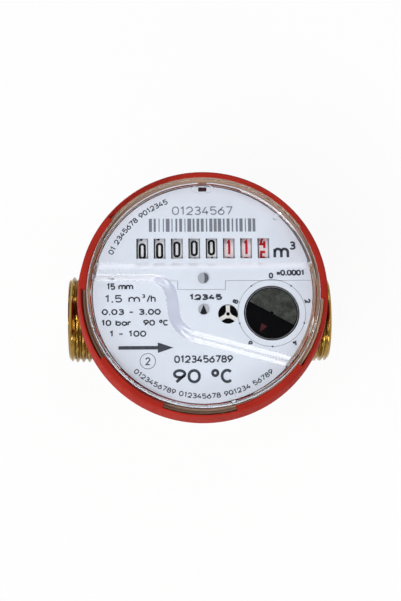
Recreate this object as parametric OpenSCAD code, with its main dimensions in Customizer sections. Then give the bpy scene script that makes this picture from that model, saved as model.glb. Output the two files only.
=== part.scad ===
// Single-jet dry-dial water meter for a 15 mm pipe. Millimetres, +Z up, dial facing up.
// The pipe runs along X, the reader stands on the -Y side and Z = 0 is the flat of the base.

/* [Body] */
// Length over the two threaded ends
body_length = 80; // [78:0.5:90]
// Height of the pipe axis above the base
pipe_axis_z = 15; // [14:0.1:15.5]
// Outside diameter of the pipe threads
thread_d = 26.44; // [25:0.02:27.5]
// Length of each pipe thread
thread_l = 8.5; // [7:0.5:9.5]
// Bore of the pipe ends
port_d = 15; // [12:0.5:16]
// Depth of the plain bore in each pipe end
port_depth = 12; // [10:0.5:13]
// Diameter of the jet that feeds the impeller
jet_d = 6; // [5:0.1:6.5]
// Diameter of the measuring chamber
chamber_d = 46; // [44:0.5:47]
// Height of the measuring chamber
chamber_h = 22; // [21.5:0.5:26]
// Thickness of the chamber floor
floor_t = 6; // [5.5:0.1:8]
// Wall round the measuring chamber
bowl_wall = 5.5; // [5:0.1:6.5]
// Diameter of the flat that the body stands on
foot_d = 40; // [34:1:46]
// Thickness of the top flange
flange_t = 4; // [3:0.1:4.4]

/* [Chamber lid] */
// Thickness of the pressure plate
plate_t = 4; // [3.8:0.1:6]
// Thickness of the threaded clamp ring
clamp_t = 3; // [2.5:0.1:4]
// Wire diameter of the plate's seal
plate_seal_d = 2; // [1.6:0.1:2.2]

/* [Impeller] */
// Number of impeller blades
blade_count = 8; // [6:1:10]
// Thickness of a blade
blade_t = 1; // [0.8:0.1:1.6]
// Gap between the blades and the chamber wall
blade_gap = 2; // [1.5:0.1:3]
// Diameter of the impeller's pin
pin_d = 2; // [1.6:0.1:2.4]
// Outside diameter of the impeller's ring magnet
magnet_d = 17; // [15:0.5:18]
// Height of the impeller's ring magnet
magnet_h = 3.2; // [2.6:0.1:3.4]

/* [Collar] */
// Wall of the collar
collar_wall = 1.7; // [1.5:0.1:2.2]
// Thickness of the collar's lip
lip_t = 1.9; // [1.4:0.1:2.6]
// Number of windows in the lip
window_count = 5; // [3:1:6]
// Angle that each lip window takes
window_angle = 35; // [20:1:45]
// Direction of the first lip window
window_turn = -92.5; // [-110:0.5:-70]

/* [Register] */
// Diameter of the dial
dial_d = 63.2; // [62:0.1:66]
// Thickness of the dial plates
dial_t = 0.8; // [0.6:0.05:1.2]
// Wall of the register case
case_wall = 1.4; // [1:0.1:1.8]
// Floor of the register case
case_floor_t = 1.5; // [1.2:0.1:2.5]
// Thickness of the case's top flange
case_flange_t = 2; // [1.8:0.1:3]
// Wall of the clear cover
cover_wall = 0.9; // [0.8:0.1:1.4]
// Width of the cover's flange outside its wall
cover_flange_w = 1.2; // [1:0.1:1.6]
// Thickness of the cover's flange
cover_flange_t = 2.1; // [1.5:0.1:3]
// Clear height between the dial and the cover
cover_air = 1.7; // [1.4:0.1:3]
// Thickness of the cover's top at its full height
cover_top_t = 3.3; // [2.8:0.1:4]
// Depth of the pocket in the cover's top
pocket_depth = 1.3; // [0.8:0.1:1.8]
// Wire diameter of the case's seal
case_seal_d = 1; // [0.8:0.05:1.1]

/* [Counter] */
// Number of number wheels
digits = 8; // [8:1:8]
// Diameter of a number wheel
wheel_d = 16.6; // [16:0.1:17.4]
// Spacing of the number wheels
wheel_pitch = 4.93; // [4.8:0.01:5]
// Width of a number wheel's printed rim
rim_w = 3.5; // [3.2:0.05:3.6]
// Distance of the counter from the dial's centre
counter_y = 13.1; // [12.8:0.1:14]
// Width of a number window
window_w = 3.35; // [2.8:0.05:3.6]
// Height of a number window
window_h = 5.96; // [5:0.02:6.6]
// Module of the carry gears
carry_module = 0.7; // [0.68:0.01:0.72]

/* [Gear train] */
// Module of the upright gears
train_module = 0.45; // [0.44:0.005:0.46]
// Axial module of the counter worm
worm_module = 0.75; // [0.7:0.01:0.8]
// Module of the counter drive gears
drive_module = 0.4; // [0.39:0.005:0.42]
// Width of the gears
gear_w = 1.2; // [1:0.05:1.4]
// Diameter of the gear arbors
arbor_d = 1; // [0.8:0.05:1.1]
// Direction of the flow star from the dial's centre
star_turn = -40.2; // [-45:0.1:-36]
// Place of the pointer disc across the dial
disc_x = 19.26; // [18.8:0.02:19.6]
// Place of the pointer disc along the dial
disc_y = -5.6; // [-6:0.1:-5.2]
// Diameter of the pointer disc
disc_d = 15.2; // [13:0.1:15.6]
// Diameter of the flow star
star_d = 5.2; // [4:0.1:5.6]

/* [Hidden] */
$fn = 96;

// Clearances: a slip gap between rings that turn, a running fit on arbors, a seated fit and a cut's overrun
slip = 0.3;
run_fit = 0.05;
seat_fit = 0.05;
over = 1;

// Tooth counts from the impeller's magnet to the last number wheel
follower_teeth = 8;
star_teeth = 32;
star_pinion_teeth = 10;
reduction_teeth = 30;
reduction_pinion_teeth = 10;
disc_teeth = 25;
worm_wheel_teeth = 10;
lay_teeth = 16;
idler_teeth = 19;
counter_teeth = 16;
carry_wheel_teeth = 20;
carry_pinion_teeth = 8;

// Tooth form: addendum and dedendum in modules, and half widths at pitch, tip and root in quarter pitches
addendum = 0.8;
dedendum = 1.1;
pitch_half = 0.82;
tip_half = 0.38;
root_half = 1.15;

// Radii of the register, from the dial outwards to the collar
dial_r = dial_d / 2;
cover_in_r = dial_r + slip;
cover_out_r = cover_in_r + cover_wall;
flange_r = cover_out_r + cover_flange_w;
case_out_r = cover_in_r - 0.1;
case_in_r = case_out_r - case_wall;
lip_r = cover_out_r + slip;
collar_in_r = flange_r + slip;
collar_out_r = collar_in_r + collar_wall;

// Radii of the body
half_length = body_length / 2;
thread_r = thread_d / 2;
thread_chamfer = 1.1;
thread_relief = 1;
port_r = port_d / 2;
chamber_r = chamber_d / 2;
bowl_r = chamber_r + bowl_wall;
foot_r = foot_d / 2;
socket_r = chamber_r + 4;
body_flange_r = case_out_r;
neck_r = body_flange_r - 1.8;
boss_r = 11;
boss_wall = 1.2;
boss_floor_t = 1;

// Heights from the base to the lip, each on the one below
seat_z = floor_t + chamber_h;
plate_top = seat_z + plate_t;
flange_top = plate_top + clamp_t;
flange_z = flange_top - flange_t;
case_z = flange_top + slip;
case_floor_top = case_z + case_floor_t;
wheel_r = wheel_d / 2;
wheel_gap_low = 0.9;
wheel_gap_top = 0.4;
counter_z = case_floor_top + wheel_gap_low + wheel_r;
dial_z = counter_z + wheel_r + wheel_gap_top;
dial_top = dial_z + dial_t;
cover_flange_top = dial_z + cover_flange_t;
lip_z = cover_flange_top + slip;
lip_top = lip_z + lip_t;
cover_under = dial_top + cover_air;
cover_top = cover_under + cover_top_t;

// Collar: shoulder and snap bead
collar_draft = 0.85;
shoulder = 1;
shoulder_drop = 9;
bead_h = 1.6;
bead_reach = 1;
skirt_in_r = body_flange_r + slip;
skirt_out_r = skirt_in_r + collar_wall;
lip_edge = 0.35;
window_sink = 0.3;
gate_mark_r = 0.5;
gate_mark_depth = 0.15;
gate_mark_turn = -70;

// Impeller
lid_gap = 1;
membrane_t = 1;
pocket_r = magnet_d / 2 + 1.9;
magnet_bore_r = 3.6;
cup_wall = 0.8;
hub_r = 5;
blade_root = 1;
hub_drop = 0.4;
shroud_t = 2;
pivot_r = 2;
pivot_h = 4;
pivot_proud = 1.5;
pin_sink = 1.4;
bearing_boss_r = pin_d / 2 + 1.3;
bearing_boss_h = 1.6;
membrane_z = plate_top - membrane_t;
magnet_top = membrane_z - lid_gap;
magnet_z = magnet_top - magnet_h;
shroud_z = magnet_z - shroud_t;
blade_z = floor_t + pivot_proud + 1;

// Strainer in the inlet port
strainer_t = 1.6;
strainer_hole_r = 0.85;
strainer_rings = [[0, 1], [2.6, 6], [5.2, 12]];

// Jet direction and where it meets the chamber
jet_in = [-(half_length - port_depth), -1.5];
jet_turn = 210;
jet_out = chamber_r * [cos(jet_turn), sin(jet_turn)];

// Arbors and their places
arbor_r = arbor_d / 2;
frame_t = 1.2;
frame_top = case_floor_top + frame_t;
frame_r = case_in_r - 0.5;
bridge_t = 1.2;
bridge_z = dial_z - bridge_t;
level_1 = frame_top + 0.8;
level_step = gear_w + 0.8;
level_2 = level_1 + level_step;
level_3 = level_2 + level_step;

function gear_r(teeth, module_mm) = teeth * module_mm / 2;
function tip_r(teeth, module_mm) = gear_r(teeth, module_mm) + addendum * module_mm;
function spacing(teeth_a, teeth_b, module_mm) = (teeth_a + teeth_b) * module_mm / 2;
function heading(from, to) = atan2(to[1] - from[1], to[0] - from[0]);
// Point at ra from a and rb from b, to the right of the line from a to b
function meeting(a, b, ra, rb) =
    let (d = norm(b - a), along = (ra * ra - rb * rb + d * d) / (2 * d), side = sqrt(ra * ra - along * along))
    a + along * (b - a) / d + side * [b[1] - a[1], a[0] - b[0]] / d;

follower_xy = [0, 0];
star_spacing = spacing(follower_teeth, star_teeth, train_module);
star_xy = star_spacing * [cos(star_turn), sin(star_turn)];
disc_xy = [disc_x, disc_y];
reduction_xy = meeting(
    star_xy,
    disc_xy,
    spacing(star_pinion_teeth, reduction_teeth, train_module),
    spacing(reduction_pinion_teeth, disc_teeth, train_module)
);

// Worm and worm wheel: the worm is a round section set off its axis and twisted
worm_pitch = PI * worm_module;
worm_core_r = 1.45;
worm_throw = 0.42;
worm_half_l = 3;
worm_wheel_r = gear_r(worm_wheel_teeth, worm_module);
worm_wheel_add = 0.28;
worm_wheel_ded = 0.52;
worm_lead = atan(worm_pitch / (2 * PI * worm_core_r));
worm_wheel_twist = gear_w * tan(worm_lead) / worm_wheel_r * 180 / PI;
lay_y = disc_y + worm_core_r + worm_wheel_r;
lay_z = level_3 + gear_w + 0.7 + worm_wheel_r + worm_wheel_add;

// Counter: wheel places, side gears and carry pinions, in the plane across the counter shaft (Y, Z)
counter_shaft_r = 0.75;
side_gap = 0.1;
side_w = (wheel_pitch - rim_w - side_gap) / 2;
counter_yz = [counter_y, counter_z];
lay_yz = [lay_y, lay_z];
drive_x = wheel_x(digits) + rim_w / 2 + 2;
idler_yz = meeting(
    lay_yz,
    counter_yz,
    spacing(lay_teeth, idler_teeth, drive_module),
    spacing(idler_teeth, counter_teeth, drive_module)
);
carry_turn = -30;
carry_spacing = spacing(carry_wheel_teeth, carry_pinion_teeth, carry_module);
carry_yz = counter_yz + carry_spacing * [cos(carry_turn), sin(carry_turn)];
carry_tip_r = tip_r(carry_pinion_teeth, carry_module);
carry_shaft_r = 0.5;
drive_hub_r = gear_r(counter_teeth, drive_module) - 2 * drive_module;
lock_r = carry_spacing - carry_tip_r + 0.86;
step_angle = 36;
carry_digit = 9.5;
// Digits shown by the wheels from left to right
reading = [0, 0, 0, 0, 0, 1, 1, 4.6];
function wheel_x(k) = (k - (digits + 1) / 2) * wheel_pitch;
function carry_x(k) = wheel_x(k) + rim_w / 2 + side_gap;
carry_w = wheel_pitch - rim_w - 2 * side_gap;

// Mechanism frame
cheek_t = 1.2;
cheek_gap = 0.5;
left_cheek_x = wheel_x(1) - rim_w / 2 - side_w - cheek_gap - cheek_t;
right_cheek_x = drive_x + gear_w / 2 + cheek_gap;
cheek_span = right_cheek_x + cheek_t - left_cheek_x;
cheek_r = 2.2;
lug_r = carry_shaft_r + 0.6;
lug_x = wheel_x(digits) - cheek_t / 2;
hanger_x = disc_x - gear_w / 2 - 2 - cheek_t;
hanger_r = 1.3;
post_r = 1.7;
post_places = [[-24, -9], [-9, -25], [11, -25], [27.2, -1.5]];
screw_r = 0.6;
screw_l = 5;
screw_head_r = 1.2;
screw_head_h = 0.6;

// Dial details
pin_y = 4.5;
pin_head_r = 1.56;
pin_head_h = 0.35;
pin_shank_r = 0.7;
pin_shank_l = 1.8;
seam_y = 3.83;
seam_gap = 0.12;
tab_left = -7.2;
tab_right = 6.2;
tab_y = 1.28;
disc_gap = 0.3;
star_gap = 0.2;
disc_t = 0.45;
foil_t = 0.12;
foil_turn = -29;
star_arm_w = 0.8;
star_hub_r = 0.95;
star_t = 0.5;
rotor_lift = 0.12;

// Cover details: hold-down pegs, key, and the pocket's outline in lines and arcs
peg_r = 0.9;
peg_ring_r = dial_r - 1.3;
peg_turns = [46.5, 168.6, 284.7];
key_w = 2.5;
key_l = 1.8;
rim_in_r = cover_in_r - 0.6;
pocket_back_y = 8.4;
pocket_left_y = 5.3;
bend_1_x = -17.3;
bend_1_r = 9.2;
bend_turn = 63;
slope_l = 8;
bend_2_r = 6.8;
exit_turn = 14.8;
bend_steps = 10;

// Shared shapes

// Gear outline with a tooth towards +X; a step of 2 leaves out every other tooth
module gear_outline(teeth, module_mm, step = 1) {
    quarter = 90 / teeth;
    pitch_r = gear_r(teeth, module_mm);
    root = pitch_r - dedendum * module_mm;
    tip = pitch_r + addendum * module_mm;
    flank = [[root, -root_half], [pitch_r, -pitch_half], [tip, -tip_half],
             [tip, tip_half], [pitch_r, pitch_half], [root, root_half]];
    first = step == 1 ? 0 : 1;
    polygon([for (i = [first:step:teeth - 1], p = flank)
        let (a = i * 360 / teeth + p[1] * quarter) p[0] * [cos(a), sin(a)]]);
}

// Gear of a given width turned so that a tooth points along turn
module gear(teeth, module_mm, width, turn = 0) {
    rotate([0, 0, turn])
        linear_extrude(width)
            gear_outline(teeth, module_mm);
}

// Stands a shape drawn in X, Y and raised in Z across the counter: X becomes Y, Y becomes Z and Z becomes X
module across(x, yz) {
    translate([x, yz[0], yz[1]])
        rotate([90, 0, 90])
            children();
}

// Moves a shape to a place on the dial
module at(xy, z) {
    translate([xy[0], xy[1], z])
        children();
}

// Ring with a square section
module ring(outer_r, inner_r, z, h) {
    translate([0, 0, z])
        difference() {
            cylinder(r = outer_r, h = h);
            translate([0, 0, -over])
                cylinder(r = inner_r, h = h + 2 * over);
        }
}

// Ring with a round section
module wire_ring(ring_r, wire_r, z) {
    translate([0, 0, z])
        rotate_extrude()
            translate([ring_r, 0])
                circle(r = wire_r, $fn = 48);
}

// Body group

seal_ring_r = (chamber_r + socket_r) / 2;
seal_wire_r = plate_seal_d / 2;

module body_shell() {
    corner_r = bowl_r - foot_r;
    bottom = [for (a = [-90:15:0]) [foot_r + corner_r * cos(a), corner_r + corner_r * sin(a)]];
    rotate_extrude()
        polygon(concat(
            [[0, 0]],
            bottom,
            [[bowl_r, flange_z - (neck_r - bowl_r)], [neck_r, flange_z], [body_flange_r, flange_z],
             [body_flange_r, flange_top], [0, flange_top]]
        ));
}

module pipe_stubs() {
    translate([0, 0, pipe_axis_z])
        rotate([0, 90, 0])
            rotate_extrude()
                polygon([
                    [0, -half_length], [thread_r - thread_chamfer, -half_length],
                    [thread_r, -half_length + thread_chamfer], [thread_r, -half_length + thread_l],
                    [thread_r - thread_relief, -half_length + thread_l + thread_relief],
                    [thread_r - thread_relief, half_length - thread_l - thread_relief],
                    [thread_r, half_length - thread_l], [thread_r, half_length - thread_chamfer],
                    [thread_r - thread_chamfer, half_length], [0, half_length]
                ]);
}

module jet() {
    length = norm(jet_out - jet_in) + 2.5;
    translate([jet_in[0], jet_in[1], pipe_axis_z])
        rotate([0, 0, heading(jet_in, jet_out)])
            translate([-over, 0, 0])
                rotate([0, 90, 0])
                    cylinder(r = jet_d / 2, h = length);
}

module body() color("goldenrod") {
    difference() {
        union() {
            body_shell();
            pipe_stubs();
        }
        translate([0, 0, floor_t])
            cylinder(r = chamber_r, h = flange_top);
        translate([0, 0, seat_z])
            cylinder(r = socket_r, h = flange_top);
        ring(seal_ring_r + seal_wire_r + seat_fit, seal_ring_r - seal_wire_r - seat_fit,
             seat_z - plate_seal_d - seat_fit, plate_seal_d + over);
        translate([0, 0, floor_t - pivot_h + pivot_proud])
            cylinder(r = pivot_r + seat_fit, h = floor_t);
        for (side = [-1, 1])
            translate([side * half_length, 0, pipe_axis_z])
                rotate([0, -90 * side, 0])
                    translate([0, 0, -over])
                        cylinder(r = port_r, h = port_depth + over);
        jet();
        mirror([1, 0, 0])
            jet();
    }
}

module inlet_strainer() color("white") {
    translate([-half_length + port_depth - strainer_t, 0, pipe_axis_z])
        rotate([0, 90, 0])
            difference() {
                cylinder(r = port_r - seat_fit, h = strainer_t);
                for (row = strainer_rings, i = [0:row[1] - 1])
                    rotate([0, 0, i * 360 / row[1]])
                        translate([row[0], 0, -over])
                            cylinder(r = strainer_hole_r, h = strainer_t + 2 * over, $fn = 32);
            }
}

module lower_pivot() color("dimgray") {
    top = floor_t + pivot_proud;
    translate([0, 0, top - pivot_h])
        difference() {
            cylinder(r = pivot_r, h = pivot_h);
            translate([0, 0, pivot_h - pin_sink])
                cylinder(r = pin_d / 2 + run_fit, h = pivot_h);
        }
}

module pressure_plate() color("darkgoldenrod") {
    bearing_z = membrane_z - bearing_boss_h;
    difference() {
        union() {
            difference() {
                translate([0, 0, seat_z])
                    cylinder(r = socket_r - seat_fit, h = plate_t);
                translate([0, 0, seat_z - over])
                    cylinder(r = pocket_r, h = membrane_z - seat_z + over);
            }
            translate([0, 0, bearing_z])
                cylinder(r = bearing_boss_r, h = bearing_boss_h);
        }
        translate([0, 0, bearing_z - over])
            cylinder(r = pin_d / 2 + run_fit, h = bearing_boss_h + over);
    }
}

module plate_seal() color("black") {
    wire_ring(seal_ring_r, seal_wire_r, seat_z - seal_wire_r - seat_fit / 2);
}

module clamp_ring() color("goldenrod") {
    slot_w = 4;
    slot_depth = 2;
    inner_r = socket_r - 5.5;
    difference() {
        ring(socket_r - seat_fit, inner_r, plate_top, clamp_t);
        for (i = [0:3])
            rotate([0, 0, 45 + i * 90])
                translate([inner_r - over, -slot_w / 2, plate_top + clamp_t / 2])
                    cube([slot_depth + over, slot_w, clamp_t]);
    }
}

module collar() color("firebrick") {
    outer_top_r = collar_out_r - collar_draft;
    bead_top = flange_z - slip;
    bead_r = body_flange_r - bead_reach;
    waist_z = lip_top - shoulder_drop;
    difference() {
        rotate_extrude()
            polygon([
                [lip_r, lip_z], [lip_r, lip_top - lip_edge], [lip_r + lip_edge, lip_top],
                [outer_top_r - shoulder / 2, lip_top], [outer_top_r - shoulder / 8, lip_top - shoulder / 3],
                [outer_top_r, lip_top - shoulder], [collar_out_r, waist_z], [skirt_out_r, flange_top],
                [skirt_out_r, bead_top - bead_h + lip_edge], [skirt_out_r - lip_edge, bead_top - bead_h],
                [bead_r + lip_edge, bead_top - bead_h], [bead_r, bead_top - bead_h / 2], [bead_r, bead_top],
                [skirt_in_r, bead_top], [skirt_in_r, flange_top], [collar_in_r, waist_z], [collar_in_r, lip_z]
            ]);
        for (i = [0:window_count - 1])
            rotate([0, 0, window_turn + i * 360 / window_count - window_angle / 2])
                rotate_extrude(angle = window_angle)
                    translate([lip_r - over, lip_z - over])
                        square([collar_in_r + window_sink - lip_r + over, lip_t + 2 * over]);
        rotate([0, 0, gate_mark_turn])
            translate([(lip_r + lip_edge + outer_top_r - shoulder / 2) / 2, 0, lip_top - gate_mark_depth])
                cylinder(r = gate_mark_r, h = over, $fn = 48);
    }
}

// Impeller group

module impeller() color("whitesmoke") {
    cup_r = magnet_d / 2 + seat_fit + cup_wall;
    blade_r = chamber_r - blade_gap;
    difference() {
        union() {
            translate([0, 0, blade_z - hub_drop])
                cylinder(r = hub_r, h = shroud_z - blade_z + hub_drop + shroud_t / 2);
            translate([0, 0, shroud_z])
                cylinder(r = cup_r, h = shroud_t + magnet_h);
            for (i = [0:blade_count - 1])
                rotate([0, 0, i * 360 / blade_count])
                    translate([hub_r - blade_root, -blade_t / 2, blade_z])
                        cube([blade_r - hub_r + blade_root, blade_t, shroud_z + shroud_t / 2 - blade_z]);
        }
        translate([0, 0, magnet_z])
            cylinder(r = magnet_d / 2 + seat_fit, h = magnet_h + over);
        translate([0, 0, blade_z - 2 * over])
            cylinder(r = pin_d / 2 + seat_fit, h = magnet_z);
    }
}

module impeller_pin() color("silver") {
    bottom = floor_t + pivot_proud - pin_sink + run_fit;
    translate([0, 0, bottom])
        cylinder(r = pin_d / 2, h = membrane_z - run_fit * 2 - bottom);
}

module impeller_magnet() color("dimgray") {
    ring(magnet_d / 2, magnet_bore_r, magnet_z, magnet_h);
}

// Register case

case_seal_r = (cover_in_r + flange_r) / 2;
case_seal_wire_r = case_seal_d / 2;

module register_case() color("tan") {
    boss_z = plate_top + slip;
    cavity_z = boss_z + boss_floor_t;
    difference() {
        rotate_extrude()
            polygon([
                [0, boss_z], [boss_r, boss_z], [boss_r, case_z], [case_out_r, case_z],
                [case_out_r, dial_z - case_flange_t - cover_flange_w], [flange_r, dial_z - case_flange_t],
                [flange_r, dial_z], [case_in_r, dial_z], [case_in_r, case_floor_top],
                [boss_r - boss_wall, case_floor_top], [boss_r - boss_wall, cavity_z], [0, cavity_z]
            ]);
        ring(case_seal_r + case_seal_wire_r + seat_fit, case_seal_r - case_seal_wire_r - seat_fit,
             dial_z - case_seal_d - seat_fit, case_seal_d + over);
        translate([0, 0, cavity_z - 0.7])
            cylinder(r = arbor_r + run_fit, h = over + 0.7);
    }
}

module case_seal() color("black") {
    wire_ring(case_seal_r, case_seal_wire_r, dial_z - case_seal_wire_r - seat_fit / 2);
}

module magnet_shield() color("gray") {
    ring(boss_r + 1.5, boss_r + seat_fit, plate_top + slip, clamp_t);
}

// Outline of the cover's pocket: a straight back edge and a front edge with two bends
function bend(centre, r, from, to) =
    [for (i = [0:bend_steps]) let (a = from + (to - from) * i / bend_steps) centre + r * [cos(a), sin(a)]];
function pocket_outline() =
    let (
        reach = 2 * dial_r,
        c1 = [bend_1_x, pocket_left_y - bend_1_r],
        s2 = c1 + bend_1_r * [sin(bend_turn), cos(bend_turn)] + slope_l * [cos(bend_turn), -sin(bend_turn)],
        c2 = s2 + bend_2_r * [sin(bend_turn), cos(bend_turn)],
        last = c2 - bend_2_r * [sin(exit_turn), cos(exit_turn)]
    )
    concat(
        [[-reach, pocket_left_y]],
        bend(c1, bend_1_r, 90, 90 - bend_turn),
        bend(c2, bend_2_r, 270 - bend_turn, 270 - exit_turn),
        [[reach, last[1] - (reach - last[0]) * tan(exit_turn)]],
        [[reach, pocket_back_y], [-reach, pocket_back_y]]
    );

module pocket() {
    translate([0, 0, cover_top - pocket_depth])
        linear_extrude(pocket_depth + over)
            intersection() {
                polygon(pocket_outline());
                circle(r = rim_in_r);
            }
}

module clear_cover() color("aliceblue", 0.4) {
    edge = 0.7;
    difference() {
        rotate_extrude()
            polygon([
                [cover_in_r, dial_z], [flange_r, dial_z], [flange_r, cover_flange_top],
                [cover_out_r, cover_flange_top], [cover_out_r, cover_top - edge],
                [cover_out_r - edge / 3, cover_top - edge / 3], [cover_out_r - edge, cover_top],
                [0, cover_top], [0, cover_under], [cover_in_r, cover_under]
            ]);
        pocket();
    }
    for (a = peg_turns)
        rotate([0, 0, a])
            translate([peg_ring_r, 0, dial_top + seat_fit])
                cylinder(r = peg_r, h = cover_air, $fn = 32);
    translate([-key_w / 2, cover_in_r - key_l, dial_top + slip])
        cube([key_w, key_l, cover_air]);
}

// Mechanism frame and bridge

module cheek(x, places, reach) {
    foot_w = 2 * cheek_r;
    for (p = places) {
        across(x, p)
            cylinder(r = cheek_r, h = cheek_t);
        translate([x, p[0] - cheek_r, frame_top - frame_t / 2])
            cube([cheek_t, foot_w, p[1] - frame_top + frame_t / 2]);
    }
    if (len(places) > 1)
        translate([x, places[1][0], frame_top - frame_t / 2])
            cube([cheek_t, places[0][0] - places[1][0], reach]);
}

module mechanism_frame() color("darkslategray") {
    wheel_slot = sqrt(pow(wheel_r, 2) - pow(counter_z - frame_top, 2)) + 0.7;
    pinion_slot = sqrt(pow(carry_tip_r, 2) - pow(max(carry_yz[1] - frame_top, 0), 2)) + 0.5;
    slot_x = wheel_x(digits) + rim_w / 2 + side_w + 0.4;
    carry_slot_x = carry_x(digits - 1) + carry_w + 0.5;
    difference() {
        union() {
            translate([0, 0, case_floor_top])
                cylinder(r = frame_r, h = frame_t);
            for (p = post_places)
                at(p, frame_top - frame_t / 2)
                    cylinder(r = post_r, h = bridge_z - frame_top + frame_t / 2, $fn = 32);
            cheek(left_cheek_x, [counter_yz], 0);
            cheek(right_cheek_x, [counter_yz, idler_yz], counter_z - frame_top);
            across(right_cheek_x - gear_w - cheek_gap, idler_yz)
                cylinder(r = arbor_r, h = gear_w + cheek_gap + cheek_t / 2, $fn = 32);
            for (side = [-1, 1])
                translate([side * lug_x - cheek_t / 2, 0, 0]) {
                    across(0, carry_yz)
                        cylinder(r = lug_r, h = cheek_t, $fn = 32);
                    translate([0, carry_yz[0] - lug_r, frame_top - frame_t / 2])
                        cube([cheek_t, 2 * lug_r, carry_yz[1] - frame_top + frame_t / 2]);
                }
        }
        translate([-slot_x, counter_y - wheel_slot, case_floor_top - over])
            cube([2 * slot_x, 2 * wheel_slot, frame_t + over + 0.01]);
        translate([-carry_slot_x, counter_y, case_floor_top - over])
            cube([2 * carry_slot_x, carry_yz[0] + pinion_slot - counter_y, frame_t + over + 0.01]);
        for (p = [follower_xy, star_xy, reduction_xy, disc_xy])
            at(p, case_floor_top - over)
                cylinder(r = arbor_r + run_fit, h = frame_t + 2 * over, $fn = 32);
        for (p = post_places)
            at(p, bridge_z - screw_l)
                cylinder(r = screw_r + seat_fit, h = screw_l + over, $fn = 32);
        across(left_cheek_x - over, counter_yz)
            cylinder(r = counter_shaft_r + seat_fit, h = cheek_span + 2 * over, $fn = 32);
        across(-lug_x - 2 * over, carry_yz)
            cylinder(r = carry_shaft_r + seat_fit, h = 2 * lug_x + 4 * over, $fn = 32);
    }
}

module bridge_plate() color("black") {
    back_y = counter_y - sqrt(pow(wheel_r, 2) - pow(bridge_z - counter_z, 2)) - 0.8;
    hanger_places = [hanger_x, drive_x + gear_w / 2 + 0.4];
    difference() {
        union() {
            translate([0, 0, bridge_z])
                linear_extrude(bridge_t)
                    intersection() {
                        circle(r = frame_r);
                        translate([-frame_r, -frame_r])
                            square([2 * frame_r, frame_r + back_y]);
                    }
            for (x = hanger_places) {
                across(x, lay_yz)
                    cylinder(r = hanger_r, h = cheek_t, $fn = 32);
                translate([x, lay_y - hanger_r, lay_z])
                    cube([cheek_t, 2 * hanger_r, bridge_z - lay_z + bridge_t / 2]);
            }
        }
        across(hanger_x - over, lay_yz)
            cylinder(r = arbor_r + run_fit, h = 3 * drive_x, $fn = 32);
        for (p = [follower_xy, star_xy, reduction_xy, disc_xy])
            at(p, bridge_z - over)
                cylinder(r = arbor_r + run_fit, h = bridge_t + 2 * over, $fn = 32);
        for (side = [-1, 1])
            at([0, side * pin_y], bridge_z - over)
                cylinder(r = pin_shank_r + seat_fit, h = bridge_t + 2 * over, $fn = 32);
        for (p = post_places)
            at(p, bridge_z) {
                translate([0, 0, -over])
                    cylinder(r = screw_r + seat_fit, h = bridge_t + 2 * over, $fn = 32);
                translate([0, 0, bridge_t - screw_head_h])
                    cylinder(r = screw_head_r + seat_fit, h = over, $fn = 32);
            }
    }
}

module bridge_screws() color("silver") {
    for (p = post_places)
        at(p, bridge_z + bridge_t - screw_head_h) {
            cylinder(r = screw_head_r, h = screw_head_h - seat_fit, $fn = 32);
            translate([0, 0, seat_fit - screw_l + screw_head_h])
                cylinder(r = screw_r, h = screw_l - screw_head_h, $fn = 32);
        }
}

// Upright gear train

follower_head = heading(follower_xy, star_xy);
star_head = heading(star_xy, reduction_xy);
reduction_head = heading(reduction_xy, disc_xy);
carrier_t = 0.8;
carrier_z = case_floor_top - 0.4 - carrier_t;
carrier_hub_r = 1.6;
follower_magnet_r = boss_r - boss_wall - 1.6;
follower_magnet_z = plate_top + slip + boss_floor_t + 0.3;

module arbor(xy, bottom, top) {
    at(xy, bottom)
        cylinder(r = arbor_r, h = top - bottom, $fn = 48);
}

module follower() color("white") {
    arbor(follower_xy, follower_magnet_z - 0.9, dial_z - 0.2);
    at(follower_xy, carrier_z)
        cylinder(r = follower_magnet_r, h = carrier_t);
    at(follower_xy, follower_magnet_z)
        cylinder(r = carrier_hub_r, h = carrier_z - follower_magnet_z);
    at(follower_xy, level_1)
        gear(follower_teeth, train_module, gear_w, follower_head);
}

module follower_magnet() color("dimgray") {
    ring(follower_magnet_r, carrier_hub_r + seat_fit, follower_magnet_z, carrier_z - follower_magnet_z);
}

module star_arbor() color("white") {
    arbor(star_xy, case_floor_top + 0.1, dial_top - 0.1);
    at(star_xy, level_1)
        gear(star_teeth, train_module, gear_w, follower_head + 180 + 180 / star_teeth);
    at(star_xy, level_2)
        gear(star_pinion_teeth, train_module, gear_w, star_head);
}

module flow_star() color("silver") {
    at(star_xy, dial_z + rotor_lift)
        difference() {
            union() {
                cylinder(r = star_hub_r, h = star_t, $fn = 48);
                for (a = [90, 210, 330])
                    rotate([0, 0, a])
                        translate([0, -star_arm_w / 2, 0])
                            cube([star_d / 2, star_arm_w, star_t]);
            }
            translate([0, 0, -over])
                cylinder(r = arbor_r + seat_fit, h = star_t + 2 * over, $fn = 48);
        }
}

module reduction_arbor() color("white") {
    arbor(reduction_xy, case_floor_top + 0.1, dial_z - 0.2);
    at(reduction_xy, level_2)
        gear(reduction_teeth, train_module, gear_w, star_head + 180 + 180 / reduction_teeth);
    at(reduction_xy, level_3)
        gear(reduction_pinion_teeth, train_module, gear_w, reduction_head);
}

module disc_arbor() color("white") {
    arbor(disc_xy, case_floor_top + 0.1, dial_top - 0.1);
    at(disc_xy, level_3)
        gear(disc_teeth, train_module, gear_w, reduction_head + 180 + 180 / disc_teeth);
}

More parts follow.
